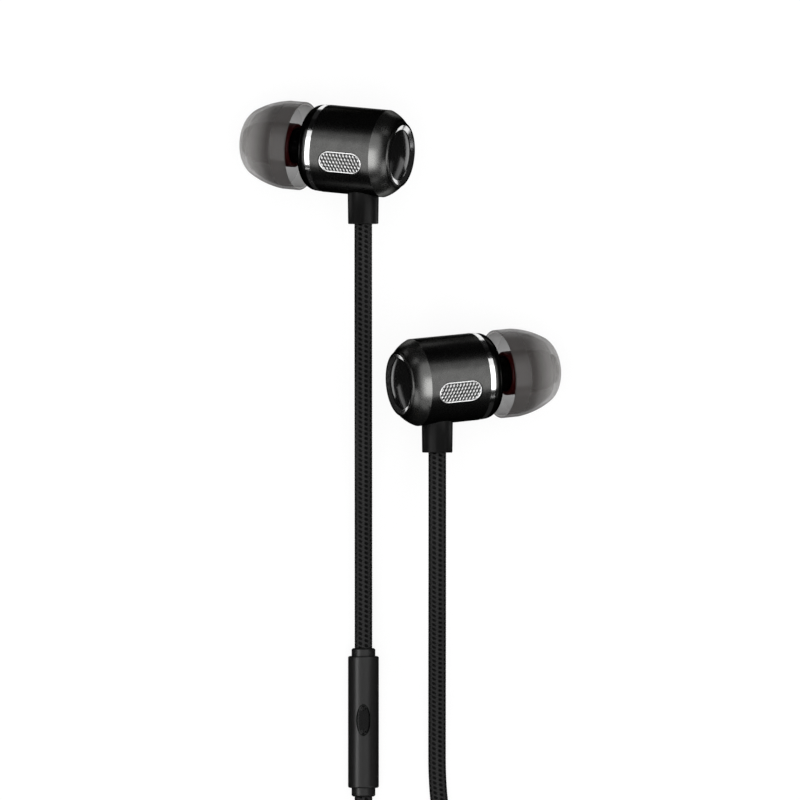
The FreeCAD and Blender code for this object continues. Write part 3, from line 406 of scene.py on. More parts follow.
def barrel_finish(side):
    """Satin black metal, whose shoulder beyond its edge has the brighter finish of a fine cut, made brighter
    still as a painted highlight that fades off towards the lip.
    """
    material = surface(f"satin_black_{side}", BARREL_COLOUR, 0.28, 0.12 * MM, 0.0006 * MM, metallic=1,
                       Specular_Tint=(*grey(0.2), 1))
    nodes = material.node_tree.nodes
    links = material.node_tree.links
    base = nodes["Principled BSDF"].inputs["Base Color"]
    # painted highlight: the shoulder's brighter colour is mixed in by its share
    cut = nodes.new("ShaderNodeMix")
    cut.data_type = "RGBA"
    cut.inputs[MIX_TO].default_value = (*SHOULDER_CUT_AND_HIGHLIGHT_COLOUR, 1)
    links.new(shoulder_highlight_share(nodes, links, side), cut.inputs[MIX_FACTOR])
    links.new(base.links[0].from_socket, cut.inputs[MIX_FROM])
    links.new(cut.outputs[MIX_RESULT], base)
    return material


# Braid

BRAID_RIBS = 8  # ribs along the cord
BRAID_STEP = 0.69 * MM  # along the cord from one hole between two ribs to the next
BRAID_SLANT = 0.55  # how far a hole leans, in steps from rib to rib
BRAID_DEPTH = 0.2 * MM
HOLE_LENGTH = 0.35  # added to the wave along a hole: more makes it longer
HOLE_FLATNESS = 1.25  # height of the hump across a hole: over 1 makes its floor flat
HOLE_HALF_WIDTH = 0.3  # in ribs
YARN_DEPTH = 0.3  # of the grooves between yarns, as a share of the braid's depth
YARNS_IN_STEP = 2
YARN_SLANT = 1.5  # how far a yarn leans, in yarns for each rib
BRAID_ROUND = 64  # points round the cord
BRAID_FINE = 0.115 * MM  # spacing of rings where the cord is near the camera
BRAID_COARSE = 0.2 * MM
SPLINE_STEPS = 16  # points of the line for each control point of its spline


def braid(turn, advance):
    """Height, from 0 in the holes to 1 on the ribs, for a turn round the cord in ribs and a way along it
    in steps: slanted holes between the ribs, and yarns that cross each rib."""
    gap = np.floor(turn)
    across = turn - gap - 0.5
    phase = advance + BRAID_SLANT * across + 0.5 * (gap % 2)
    along_hole = np.clip(np.cos(2 * math.pi * phase) + HOLE_LENGTH, 0, 1)
    across_hole = np.clip(HOLE_FLATNESS - (across / HOLE_HALF_WIDTH) ** 2, 0, 1)
    yarns = YARNS_IN_STEP * advance + YARN_SLANT * np.abs(across)
    groove = YARN_DEPTH * (1 - np.cos(2 * math.pi * yarns)) / 2
    return np.clip(1 - along_hole * across_hole - groove, 0, 1)


def spline_path(name, points):
    """Points of a NURBS line that has the route's points as its control points."""
    curve = bpy.data.curves.new(name + "_route", "CURVE")
    curve.dimensions = "3D"
    spline = curve.splines.new("NURBS")
    spline.points.add(len(points) - 1)
    for point, place in zip(spline.points, points):
        point.co = (*place, 1)
    spline.order_u = 3
    spline.use_endpoint_u = True
    spline.resolution_u = SPLINE_STEPS
    holder = add_object(name + "_route", curve)
    bpy.context.view_layer.update()
    line = bpy.data.meshes.new_from_object(holder)
    path = np.array([v.co for v in line.vertices])
    bpy.data.objects.remove(holder)
    bpy.data.curves.remove(curve)
    bpy.data.meshes.remove(line)
    return path


def spaced(path, step):
    """The same line with points at even steps, and how far along it each of them is."""
    run = np.concatenate([[0], np.cumsum(np.linalg.norm(np.diff(path, axis=0), axis=1))])
    at = np.linspace(0, run[-1], max(int(run[-1] / step), 2) + 1)
    return np.stack([np.interp(at, run, path[:, axis]) for axis in range(3)], axis=1), at


def carried_frames(line):
    """Two directions across the line at each point, carried along it without twist from straight up."""
    tangents = np.gradient(line, axis=0)
    tangents /= np.linalg.norm(tangents, axis=1)[:, None]
    first = np.zeros_like(line)
    across = np.array([0, 0, 1.0])
    for i, tangent in enumerate(tangents):
        across = across - tangent * across.dot(tangent)
        across /= np.linalg.norm(across)
        first[i] = across
    return first, np.cross(tangents, first)


def braided_cord(name, points, step):
    """A braided cord along a route, and the line that it follows."""
    path = spline_path(name, points)
    line, at = spaced(path, step)
    up, side = carried_frames(line)
    angle = np.linspace(0, 2 * math.pi, BRAID_ROUND, endpoint=False)[None, :]
    lift = braid(BRAID_RIBS * angle / (2 * math.pi), at[:, None] / BRAID_STEP)
    radius = (CORD_RADIUS - BRAID_DEPTH * (1 - lift))[..., None]
    outward = np.cos(angle)[..., None] * up[:, None] + np.sin(angle)[..., None] * side[:, None]
    verts, faces = capped_tube(line[:, None] + radius * outward)
    cord = add_mesh(name, verts, faces, [BRAID], "cord_braid", sharp=0)
    # the lift also sets the painted shade in the braid's holes
    keep_lift(cord, np.append(lift.ravel(), [0, 0]))
    return cord, path


# Cord routes, in metres

COIL_CENTRE = np.array([0, -0.115, 0])
COIL_POINTS = 24  # control points in one turn
CLIMB_TURNS = 0.5  # part of a turn in which a spiral reverses and climbs to the next layer
PAIR_RADIUS = 0.01945
PAIR_TURNS = 0.75
PAIR_START = 0  # degrees
TRUNK_RADIUS = 0.0209
TRUNK_TURNS = 4.17
TRUNK_START = 180


def coil_points(outer, turns, pitch, bottom, start_degrees):
    """Control points of a coil that spirals in on one layer and out again on the next."""
    last = 2 * turns + CLIMB_TURNS
    count = round(last * COIL_POINTS)
    reach = 1 / math.cos(math.pi * last / count)
    points = []
    for step in range(count):
        turn = (step + 0.5) * last / count
        radius = reach * (outer - pitch * (last / 2 - abs(last / 2 - turn)))
        climb = min(max((turn - turns) / CLIMB_TURNS, 0), 1)
        angle = math.radians(start_degrees - 360 * turn)
        points.append(COIL_CENTRE + [radius * math.cos(angle), radius * math.sin(angle),
                                     bottom + TURN_PITCH * climb * climb * (3 - 2 * climb)])
    return points


def coil_end(outer, turns, bottom, start_degrees, past):
    """A point past a coil's last turn, on the straight line that leaves it."""
    angle = math.radians(start_degrees - 360 * (2 * turns + CLIMB_TURNS))
    rim = [outer * math.cos(angle), outer * math.sin(angle), bottom + TURN_PITCH]
    return COIL_CENTRE + rim + np.array([math.sin(angle), -math.cos(angle), 0]) * past


LEFT_EXIT = (-STEM_X, 0.00725, STEM_LEVEL)
RIGHT_EXIT = (STEM_X, -0.0245, STEM_LEVEL)
REMOTE_EXIT = (-STEM_X, -0.07255, REMOTE_RADIUS)
SPLITTER_EXIT = (-0.009, -0.144, 0.002)
LEFT_PAST = 0.0075  # from the end of a coil's last turn to the next point
RIGHT_PAST = 0.008
TRUNK_PAST = 0.0075

LEFT_UPPER = [LEFT_EXIT, (-STEM_X, 0, STEM_LEVEL), (-STEM_X, -0.010, 0.0099), (-STEM_X, -0.022, 0.0066),
              (-STEM_X, -0.033, 0.0036), (-STEM_X, -0.043, REMOTE_RADIUS), (-STEM_X, -0.05185, REMOTE_RADIUS)]
LEFT_OUTER = PAIR_RADIUS - TURN_PITCH / 2
LEFT_LOWER = [REMOTE_EXIT, (-STEM_X, -0.077, REMOTE_RADIUS), (-0.0032, -0.0835, 0.0015),
              (0.003, -0.0882, 0.0016), (0.010, -0.0912, 0.0036), (0.0156, -0.0965, 0.0064),
              (LEFT_OUTER, -0.1045, HIGH_LAYER), (LEFT_OUTER, -0.1125, HIGH_LAYER)]
LEFT_TAIL = [(0.0196, -0.1295, 0.0094), (0.018, -0.1366, 0.007), (0.014, -0.141, 0.004),
             (0.0094, -0.142525, 0.002), (0.005, -0.142525, 0.002)]
RIGHT_OUTER = PAIR_RADIUS + TURN_PITCH / 2
RIGHT_UPPER = [RIGHT_EXIT, (STEM_X, -0.032, STEM_LEVEL), (STEM_X, -0.042, 0.0096), (STEM_X, -0.053, 0.0048),
               (STEM_X, -0.062, 0.0016), (STEM_X, -0.072, LOW_LAYER), (0.0064, -0.079, 0.0014),
               (0.0112, -0.085, 0.0024), (0.0172, -0.0908, 0.0052), (0.0205, -0.0985, 0.0071),
               (RIGHT_OUTER, -0.106, HIGH_LAYER), (RIGHT_OUTER, -0.1125, HIGH_LAYER)]
RIGHT_TAIL = [(0.0227, -0.1305, 0.0094), (0.0212, -0.1388, 0.007), (0.016, -0.144, 0.0038),
              (0.010, -0.145475, 0.002), (0.005, -0.145475, 0.002)]
TRUNK_LEAD = [SPLITTER_EXIT, (-0.0146, -0.144, 0.002), (-0.0208, -0.1405, 0.00135),
              (-0.0231, -0.1333, LOW_LAYER), (-TRUNK_RADIUS, -0.1242, LOW_LAYER),
              (-TRUNK_RADIUS, -0.1175, LOW_LAYER)]
TRUNK_TAIL = [(-0.0244, -0.1226, 0.0048), (-0.026, -0.1162, 0.00295), (-0.026, -0.1125, 0.00295)]


def pair_route(lead, outer, past, tail):
    """A branch's way from its lead through the coil's upper layers to the splitter."""
    return (lead + coil_points(outer, PAIR_TURNS, 2 * TURN_PITCH, HIGH_LAYER, PAIR_START)
            + [coil_end(outer, PAIR_TURNS, HIGH_LAYER, PAIR_START, past)] + tail)


left_upper, left_upper_path = braided_cord("cord_left_upper", LEFT_UPPER, BRAID_FINE)
left_lower, left_lower_path = braided_cord(
    "cord_left_lower", pair_route(LEFT_LOWER, LEFT_OUTER, LEFT_PAST, LEFT_TAIL), BRAID_COARSE)
right_cord, right_path = braided_cord(
    "cord_right", pair_route(RIGHT_UPPER, RIGHT_OUTER, RIGHT_PAST, RIGHT_TAIL), BRAID_FINE)
trunk_cord, trunk_path = braided_cord(
    "cord_trunk", TRUNK_LEAD + coil_points(TRUNK_RADIUS, TRUNK_TURNS, TURN_PITCH, LOW_LAYER, TRUNK_START)
    + [coil_end(TRUNK_RADIUS, TRUNK_TURNS, LOW_LAYER, TRUNK_START, TRUNK_PAST)] + TRUNK_TAIL, BRAID_COARSE)
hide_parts("left_cord_upper")
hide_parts("left_cord_lower", "left_cord_coil", "left_cord_tail")
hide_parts("right_cord", "right_cord_coil", "right_cord_tail")
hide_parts("trunk_cord_lead", "trunk_cord_coil", "trunk_cord_tail")


# Ear tips, soft: the outline is the flange's and the core's own, in millimetres

TIP_END = 10.1
TIP_SHOULDER = (-8.8, 4.52)
TIP_SKIRT = (-4.0, 6.15)
TIP_RIM = (-1.7, 6.15)
NOSE_BULGE = 0.28
MOUTH_BULGE = 0.2
TIP_MOUTH = 2.6
SKIRT_WALL = 0.36
RIM_ROUND = 0.06
NOSE_STEPS = 24  # points along the curve of the nose
RIM_STEPS = 8
NECK_RADIUS = 2.77
JOIN_AT = -8.9
BORE_WALL = 2.11
CORE_OUTSIDE = 3.05
CORE_SEAT = 2.49
CORE_BACK = -2.6
CORE_STEP = -5.75
CORE_ROUND = 0.16
SOUND_BORE = 1.75
CORE_DARK_TO = -6.9  # the core's dark rubber turns to a pale painted light from here
CORE_PAINTED_LIGHT_FROM = -8.1
TIP_CLEAR_TO = -4.6  # the flange gets pale painted light from here towards the thicker nose
TIP_PAINTED_LIGHT_FROM = -7.2
NOSE_PAINTED_LIGHT = 0.47  # share of painted light on the nose, against the full share inside the skirt


def tip_flange_outline():
    skirt_inside = (TIP_SKIRT[0], TIP_SKIRT[1] - SKIRT_WALL)
    shoulder_inside = (TIP_SHOULDER[0] + SKIRT_WALL, TIP_SHOULDER[1] - SKIRT_WALL)
    points = [np.array((-TIP_END, BORE_WALL)), np.array((-TIP_END, TIP_MOUTH))]
    points += bulge((-TIP_END, TIP_MOUTH), TIP_SHOULDER, MOUTH_BULGE)
    points += bulge(TIP_SHOULDER, TIP_SKIRT, NOSE_BULGE, NOSE_STEPS)
    points.append(np.array(TIP_RIM))
    points += bulge(TIP_RIM, (TIP_RIM[0], TIP_RIM[1] - SKIRT_WALL), RIM_ROUND, RIM_STEPS)
    points.append(np.array(skirt_inside))
    points += bulge(skirt_inside, shoulder_inside, -NOSE_BULGE, NOSE_STEPS)
    points += [np.array((JOIN_AT, NECK_RADIUS)), np.array((JOIN_AT, BORE_WALL))]
    return points


def tip_core_outline():
    return rounded([(CORE_BACK, CORE_SEAT), (CORE_BACK, CORE_OUTSIDE), (CORE_STEP, CORE_OUTSIDE),
                    (JOIN_AT, NECK_RADIUS), (JOIN_AT, BORE_WALL), (-TIP_END, BORE_WALL),
                    (-TIP_END, SOUND_BORE), (CORE_STEP, SOUND_BORE), (CORE_STEP, CORE_SEAT)], CORE_ROUND)


def tip_flange(side):
    """The see-through flange, with painted light on its nose and inside its skirt."""
    verts, faces = turned(tip_flange_outline())
    placed = on_ear(verts, faces, side)
    flange = add_mesh(f"ear_tip_{side}", *placed, [TIP], "tip_silicone", f"{side}_ear_tip")
    from_axis = np.hypot(verts[:, 1], verts[:, 2])
    inside_skirt = (verts[:, 0] >= TIP_SKIRT[0]) & (from_axis < TIP_SKIRT[1] - SKIRT_WALL / 2)
    nose = np.clip((TIP_CLEAR_TO - verts[:, 0]) / (TIP_CLEAR_TO - TIP_PAINTED_LIGHT_FROM), 0, 1)
    # painted light: full inside the skirt, and a share of it on the nose
    keep_lift(flange, np.where(inside_skirt, 1, nose * NOSE_PAINTED_LIGHT))
    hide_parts(f"ear_tip_flange_{side}")


def tip_core(side):
    """The dark core that grips the nozzle, with painted light on its front."""
    verts, faces = turned(tip_core_outline())
    placed = on_ear(verts, faces, side)
    core = add_mesh(f"tip_core_{side}", *placed, [CORE], "tip_core", f"{side}_ear_tip")
    # painted light: none on the dark back of the core, full at its front
    keep_lift(core, np.clip((CORE_DARK_TO - verts[:, 0]) / (CORE_DARK_TO - CORE_PAINTED_LIGHT_FROM), 0, 1))
    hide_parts(f"ear_tip_core_{side}")


# Strain relief of an ear piece, and of the plug, in millimetres

RELIEF_END = 10.06
RELIEF_RADIUS = 2.17
RELIEF_TIP = 2.11
RELIEF_ROUND = 0.15
RELIEF_NECK = 1.3
RELIEF_FLANGE = 1.85
RELIEF_FLANGE_TOP = 4.89
RELIEF_FLANGE_THICKNESS = 0.5
POCKET_FLOOR = 5.55
CORD_HOLE = 1.27
MOUTH_DEPTH = 0.35
RELIEF_MOUTH_FLARE = 0.25


def relief_outline():
    flange_foot = RELIEF_FLANGE_TOP - RELIEF_FLANGE_THICKNESS
    mouth_floor = RELIEF_END - MOUTH_DEPTH
    return rounded([(flange_foot, 0), (flange_foot, RELIEF_FLANGE),
                    (RELIEF_FLANGE_TOP, RELIEF_FLANGE), (RELIEF_FLANGE_TOP, RELIEF_NECK),
                    (POCKET_FLOOR, RELIEF_NECK), (POCKET_FLOOR, RELIEF_RADIUS),
                    (RELIEF_END, RELIEF_TIP), (RELIEF_END, CORD_HOLE + RELIEF_MOUTH_FLARE),
                    (mouth_floor, CORD_HOLE), (mouth_floor, 0)], RELIEF_ROUND)


def strain_relief(side):
    verts, faces = turned(relief_outline(), SMALL_ROUND_STEPS)
    placed, faces = on_ear(on_stem(verts), faces, side)
    relief = add_mesh(f"relief_{side}", placed, faces, [RELIEF], "relief_rubber")
    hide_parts(f"strain_relief_{side}")


PLUG_RELIEF = 6.0
PLUG_RELIEF_RIBS = 5
PLUG_RELIEF_NARROW = 1.7
PLUG_RELIEF_WIDE = 2.05
PLUG_RELIEF_FLANGE = 2.41
PLUG_RELIEF_FLANGE_THICKNESS = 1
PLUG_RELIEF_ROUND = 0.12
PLUG_MOUTH_FLARE = 0.2
GROOVE_FROM = 0.68  # of the way from rib to rib: where a groove starts, is deep, and ends
GROOVE_DEEP = 0.72
GROOVE_TO = 0.96
GROOVE_DEPTH = 0.3


def plug_relief_outline():
    flange_end = PLUG_RELIEF + PLUG_RELIEF_FLANGE_THICKNESS
    points = [(MOUTH_DEPTH, 0), (MOUTH_DEPTH, CORD_HOLE), (0, CORD_HOLE + PLUG_MOUTH_FLARE)]
    pitch = PLUG_RELIEF / (PLUG_RELIEF_RIBS + 0.5)
    for rib in range(PLUG_RELIEF_RIBS):
        start = rib * pitch
        skin = PLUG_RELIEF_NARROW + (PLUG_RELIEF_WIDE - PLUG_RELIEF_NARROW) * start / PLUG_RELIEF
        points += [(start, skin), (start + GROOVE_FROM * pitch, skin),
                   (start + GROOVE_DEEP * pitch, skin - GROOVE_DEPTH),
                   (start + GROOVE_TO * pitch, skin - GROOVE_DEPTH)]
    points += [(PLUG_RELIEF_RIBS * pitch, PLUG_RELIEF_WIDE), (PLUG_RELIEF, PLUG_RELIEF_WIDE),
               (PLUG_RELIEF, PLUG_RELIEF_FLANGE), (flange_end, PLUG_RELIEF_FLANGE), (flange_end, 0)]
    return rounded(points, PLUG_RELIEF_ROUND)


def plug_relief():
    verts, faces = turned(plug_relief_outline(), SMALL_ROUND_STEPS)
    boot = add_mesh("plug_boot", on_plug(verts), faces, [RELIEF], "relief_rubber")
    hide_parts("plug_relief")
    return boot


# Vent grille, in millimetres

VENT_AT = 6.78
VENT_TURN = math.radians(72.6)
VENT_LENGTH = 6.54
VENT_WIDTH = 3.14
VENT_STRAIGHT = (VENT_LENGTH - VENT_WIDTH) / 2  # half of a straight side
VENT_SKIN = 5.98
VENT_PITCH = 0.5  # knuckle to knuckle in a row
VENT_ROW = 0.52  # row to row; every other row is shifted by half a pitch
VENT_SLANT = 0.22  # how far a knuckle's top leans back towards the cap's side, per length
KNUCKLE_HALF_WIDTH = 0.135
KNUCKLE_HALF_LENGTH = 0.3
KNUCKLE_HEIGHT = 0.15
GROUND_DEPTH = 0.15  # strands between the knuckles, below the barrel's skin
GROUND_SWELL = 0.06
GROUND_HOLE = 0.12  # of the ground's wave, under which it is open
VENT_GRID = 0.035
VENT_RIM = 0.13  # radius of the rim's section
VENT_RIM_PROUD = 0.05
VENT_RIM_ROUND = 12  # points round the rim's section
VENT_RIM_STEPS = 160  # and round the oval
VENT_BACK_DEPTH = 0.45
VENT_BACK_INSET = 0.02
VENT_BACK_STEPS = 96


def round_barrel(along, across, radius):
    """Points on a cylinder about the barrel's axis, from places measured on the vent's face."""
    angle = VENT_TURN + across / VENT_SKIN
    return np.stack([VENT_AT + along, -radius * np.cos(angle), radius * np.sin(angle)], axis=-1)


def inside_vent(along, across, margin):
    """How far a place lies inside the vent's oval, less the margin."""
    beyond = np.maximum(np.abs(along) - VENT_STRAIGHT, 0)
    return VENT_WIDTH / 2 - margin - np.hypot(beyond, across)


def vent_outline(steps, margin):
    """Places round the vent's oval, inside it by a margin."""
    turn = np.linspace(0, 2 * math.pi, steps, endpoint=False)
    reach = VENT_WIDTH / 2 - margin
    return np.sign(np.cos(turn)) * VENT_STRAIGHT + reach * np.cos(turn), reach * np.sin(turn)


def knuckle(along, across, shift):
    """Height of one set of slanted oval knuckles, every other row of the weave, from 0 beside them to 1."""
    row = across / (2 * VENT_ROW) + shift
    from_row = (row - np.round(row)) * 2 * VENT_ROW
    column = (along + VENT_SLANT * from_row) / VENT_PITCH + shift
    from_column = (column - np.round(column)) * VENT_PITCH
    reach = (from_column / KNUCKLE_HALF_WIDTH) ** 2 + (from_row / KNUCKLE_HALF_LENGTH) ** 2
    return np.sqrt(np.clip(1 - reach, 0, 1))


def vent_screen():
    along, across = np.meshgrid(np.arange(-VENT_LENGTH / 2, VENT_LENGTH / 2, VENT_GRID),
                                np.arange(-VENT_WIDTH / 2, VENT_WIDTH / 2, VENT_GRID), indexing="ij")
    lift = np.maximum(knuckle(along, across, 0), knuckle(along, across, 0.5))
    strand = np.abs(np.cos(2 * math.pi * along / VENT_PITCH) * np.cos(math.pi * across / VENT_ROW))
    height = GROUND_SWELL * strand - GROUND_DEPTH + KNUCKLE_HEIGHT * lift
    verts = round_barrel(along, across, VENT_SKIN + height)
    solid = (lift > 0) | (strand > GROUND_HOLE)
    kept = ((inside_vent(along, across, VENT_RIM) > 0) & solid).ravel()
    faces = [face for face in grid_faces(*along.shape, closed_columns=False) if kept[face].all()]
    return verts.reshape(-1, 3), faces, lift.ravel()


def vent_rim():
    loops = []
    for angle in np.linspace(0, 2 * math.pi, VENT_RIM_ROUND, endpoint=False):
        along, across = vent_outline(VENT_RIM_STEPS, VENT_RIM * (1 - math.cos(angle)))
        proud = VENT_RIM_PROUD - VENT_RIM * (1 - math.sin(angle))
        loops.append(round_barrel(along, across, VENT_SKIN + proud))
    faces = grid_faces(VENT_RIM_ROUND, VENT_RIM_STEPS, closed_rows=True)
    return np.concatenate(loops), faces, np.ones(VENT_RIM_ROUND * VENT_RIM_STEPS)


def vent_backing():
    """A dark oval under the screen."""
    along, across = vent_outline(VENT_BACK_STEPS, VENT_BACK_INSET)
    rim = round_barrel(along, across, VENT_SKIN - VENT_BACK_DEPTH)
    middle = round_barrel(np.zeros(1), np.zeros(1), VENT_SKIN - VENT_BACK_DEPTH)
    faces = [[VENT_BACK_STEPS, step, (step + 1) % VENT_BACK_STEPS] for step in range(VENT_BACK_STEPS)]
    return np.concatenate([rim, middle]), faces, np.zeros(VENT_BACK_STEPS + 1)


def vent_grille(side):
    """Rows of slanted oval knuckles over a ground of strands, in an oval rim that follows the barrel, with
    a dark backing: one piece, without the unused points of the screen's grid."""
    verts = []
    faces = []
    lifts = []
    finishes = []
    for (points, quads, lift), finish in ((vent_screen(), 0), (vent_rim(), 0), (vent_backing(), 1)):
        shift = sum(len(v) for v in verts)
        used = sorted({i for quad in quads for i in quad})
        number = {old: new + shift for new, old in enumerate(used)}
        verts.append(points[used])
        faces += [[number[i] for i in quad] for quad in quads]
        lifts.append(lift[used])
        finishes += [finish] * len(quads)
    placed, faces = on_ear(np.concatenate(verts), faces, side)
    grille = add_mesh(f"vent_grille_{side}", placed, faces, [VENT_METAL, VENT_BACK], "vent_mesh", sharp=0)
    grille.data.polygons.foreach_set("material_index", finishes)
    # the lift also sets the painted shade on the grille's lower strands
    keep_lift(grille, np.concatenate(lifts))
    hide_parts(f"vent_insert_{side}")


for side in ("left", "right"):
    tip_flange(side)
    tip_core(side)
    strain_relief(side)
    vent_grille(side)
plug_boot = plug_relief()


# Splitter, a flat moulding with soft ends and a seam along its sides, in metres

SPLITTER_WIDE_END = 0.005
SPLITTER_NARROW_END = -0.009
SPLITTER_Y = -0.144
SPLITTER_HALVES = (3.5 * MM, 2.2 * MM)  # half its width at the wide and at the narrow end
SPLITTER_HALF_HEIGHT = 2 * MM
SPLITTER_ROUND = 0.7 * MM
SPLITTER_STEPS = 72  # points round it
SPLITTER_END = 0.06  # share of its length that has close rings, at each end
SPLITTER_END_RINGS = 9
SPLITTER_MIDDLE = 0.08
SPLITTER_MIDDLE_RINGS = 40
SEAM_DEPTH = 0.05 * MM
SEAM_WIDTH = 0.04  # as a sine of the turn from the side


def splitter_rings():
    length = SPLITTER_WIDE_END - SPLITTER_NARROW_END
    turn = np.linspace(0, 2 * math.pi, SPLITTER_STEPS, endpoint=False)
    side = np.sign(np.cos(turn))
    rings = []
    for share in np.concatenate([np.linspace(0, SPLITTER_END, SPLITTER_END_RINGS),
                                 np.linspace(SPLITTER_MIDDLE, 1 - SPLITTER_MIDDLE, SPLITTER_MIDDLE_RINGS),
                                 np.linspace(1 - SPLITTER_END, 1, SPLITTER_END_RINGS)]):
        from_end = min(share, 1 - share) * length
        drop = max(SPLITTER_ROUND - from_end, 0)
        inset = SPLITTER_ROUND - math.sqrt(SPLITTER_ROUND ** 2 - drop ** 2)
        half = SPLITTER_HALVES[0] + (SPLITTER_HALVES[1] - SPLITTER_HALVES[0]) * share
        radius = SPLITTER_HALF_HEIGHT - inset
        seam = SEAM_DEPTH * np.exp(-(np.sin(turn) / SEAM_WIDTH) ** 2) * (drop == 0)
        across = side * (half - SPLITTER_HALF_HEIGHT - seam) + radius * np.cos(turn)
        rings.append(np.stack([np.full(SPLITTER_STEPS, SPLITTER_WIDE_END - share * length),
                               SPLITTER_Y + across,
                               SPLITTER_HALF_HEIGHT + radius * np.sin(turn)], axis=1))
    return np.array(rings)


splitter_verts, splitter_faces = capped_tube(splitter_rings())
splitter_mould = add_mesh("splitter_mould", splitter_verts, splitter_faces, [SPLITTER], "splitter_rubber")
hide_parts("splitter")


# Button: an oval cap with a raised mark near each end, over the CAD button's lip, in metres

BUTTON_Y = -61.85 * MM
BUTTON_HALF_LENGTH = 2.15 * MM
BUTTON_HALF_WIDTH = 0.925 * MM
BUTTON_FOOT = 3.3 * MM
BUTTON_CROWN = REMOTE_RADIUS + 0.1 * MM
BUTTON_EDGE_DROP = 0.06 * MM  # of the crown at the button's edge
BUTTON_EDGE_POWER = 12  # how close to the edge the drop stays
BUTTON_STEPS = 96  # points round it
BUTTON_SHARES = (0.99, 0.03)  # of its outline, from its outermost ring on top to its innermost
BUTTON_RINGS = 40
BUTTON_MARK_AT = 1.62 * MM
BUTTON_MARK_RADIUS = 0.38 * MM
BUTTON_MARK_RISE = 0.13 * MM


def button_top_height(x, y, share):
    """Height of the button's top: the remote's own round, its edge eased down and its marks raised."""
    top = REMOTE_RADIUS + np.sqrt(BUTTON_CROWN ** 2 - x ** 2) - BUTTON_EDGE_DROP * share ** BUTTON_EDGE_POWER
    for end in (-BUTTON_MARK_AT, BUTTON_MARK_AT):
        from_mark = np.hypot(x, y - end) / BUTTON_MARK_RADIUS
        top = top + BUTTON_MARK_RISE * np.clip(1 - from_mark ** 2, 0, 1)
    return top


def button_cap():
    turn = np.linspace(0, 2 * math.pi, BUTTON_STEPS, endpoint=False)
    rings = []
    for share in (1, *np.linspace(*BUTTON_SHARES, BUTTON_RINGS)):
        x = BUTTON_HALF_WIDTH * share * np.cos(turn)
        y = BUTTON_HALF_LENGTH * share * np.sin(turn)
        rings.append(np.stack([x - STEM_X, y + BUTTON_Y, button_top_height(x, y, share)], axis=1))
    foot = rings[0].copy()
    foot[:, 2] = BUTTON_FOOT
    verts, faces = capped_tube(np.array([foot, *rings]))
    return verts, [face[::-1] for face in faces]


button_top = add_mesh("button_top", *button_cap(), [BUTTON], "button_plastic", "button")
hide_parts("remote_button")


# Finishes of the pieces that keep their CAD shape, by how the node's name starts

FINISHES = {
    "barrel_shell_left": barrel_finish("left"), "barrel_shell_right": barrel_finish("right"),
    "front_cap": CAP, "trim_ring": CHROME, "rear_ring": CHROME, "rear_dome": DOME,
    "nozzle_mesh": SCREEN, "driver_frame": FRAME_PLASTIC, "diaphragm": FILM, "voice_coil": COPPER,
    "driver_yoke": STEEL, "driver_top_plate": STEEL, "driver_magnet": MAGNET, "terminal_board": BOARD,
    "remote_shell": REMOTE, "remote_collar": REMOTE, "remote_board": BOARD,
    "remote_switch": FRAME_PLASTIC, "microphone_capsule": STEEL,
    "plug_barrel": PLUG, "plug_sleeve_contact": GOLD, "plug_ring_contacts": GOLD,
    "plug_tip_contact": GOLD, "plug_insulators": INSULATOR}

for name, node in NODES.items():
    for start, finish in FINISHES.items():
        if name.startswith(start):
            node.data.materials.clear()
            node.data.materials.append(finish)


# Floor and world

FLOOR_HALF_WIDTH = 3
FLOOR_LEVEL = -0.0001
FLOOR_GREY = 0.9
FLOOR_SHARE = 0.88  # how much of the floor that is seen is white by itself
WORLD_GREY = 0.02


def white_where_seen(nodes, links, dull, output, share):
    """White to the camera, in reflections and through clear pieces, and the dull shader to other rays.
    The share is how much of what is seen is white by itself: the rest is lit, and keeps a shadow."""
    rays = nodes.new("ShaderNodeLightPath")
    white = nodes.new("ShaderNodeBackground" if dull.type == "BACKGROUND" else "ShaderNodeEmission")
    white.inputs["Strength"].default_value = 1
    white.inputs["Color"].default_value = (1, 1, 1, 1)
    seen = rays.outputs["Is Camera Ray"]
    for kind in ("Is Glossy Ray", "Is Transmission Ray"):
        either = nodes.new("ShaderNodeMath")
        either.operation = "MAXIMUM"
        links.new(seen, either.inputs[0])
        links.new(rays.outputs[kind], either.inputs[1])
        seen = either.outputs[0]
    part = nodes.new("ShaderNodeMath")
    part.operation = "MULTIPLY"
    part.inputs[1].default_value = share
    links.new(seen, part.inputs[0])
    mix = nodes.new("ShaderNodeMixShader")
    links.new(part.outputs[0], mix.inputs["Fac"])
    links.new(dull.outputs[0], mix.inputs[1])
    links.new(white.outputs[0], mix.inputs[2])
    links.new(mix.outputs[0], output.inputs["Surface"])


def floor_material():
    material, nodes, links, shader = new_material("floor")
    shader.inputs["Base Color"].default_value = (*grey(FLOOR_GREY), 1)
    shader.inputs["Roughness"].default_value = 0.9
    shader.inputs["Specular IOR Level"].default_value = 0
    white_where_seen(nodes, links, shader, nodes["Material Output"], FLOOR_SHARE)
    return material


def staged(name, verts, faces, material):
    """A mesh of the set, which isn't part of the object."""
    mesh = bpy.data.meshes.new(name)
    mesh.from_pydata(verts, [], faces)
    mesh.materials.append(material)
    piece = add_object(name, mesh)
    return piece


def add_floor():
    half = FLOOR_HALF_WIDTH
    corners = [(-half, -half), (half, -half), (half, half), (-half, half)]
    staged("floor", [(x, y, FLOOR_LEVEL) for x, y in corners], [[0, 1, 2, 3]], floor_material())


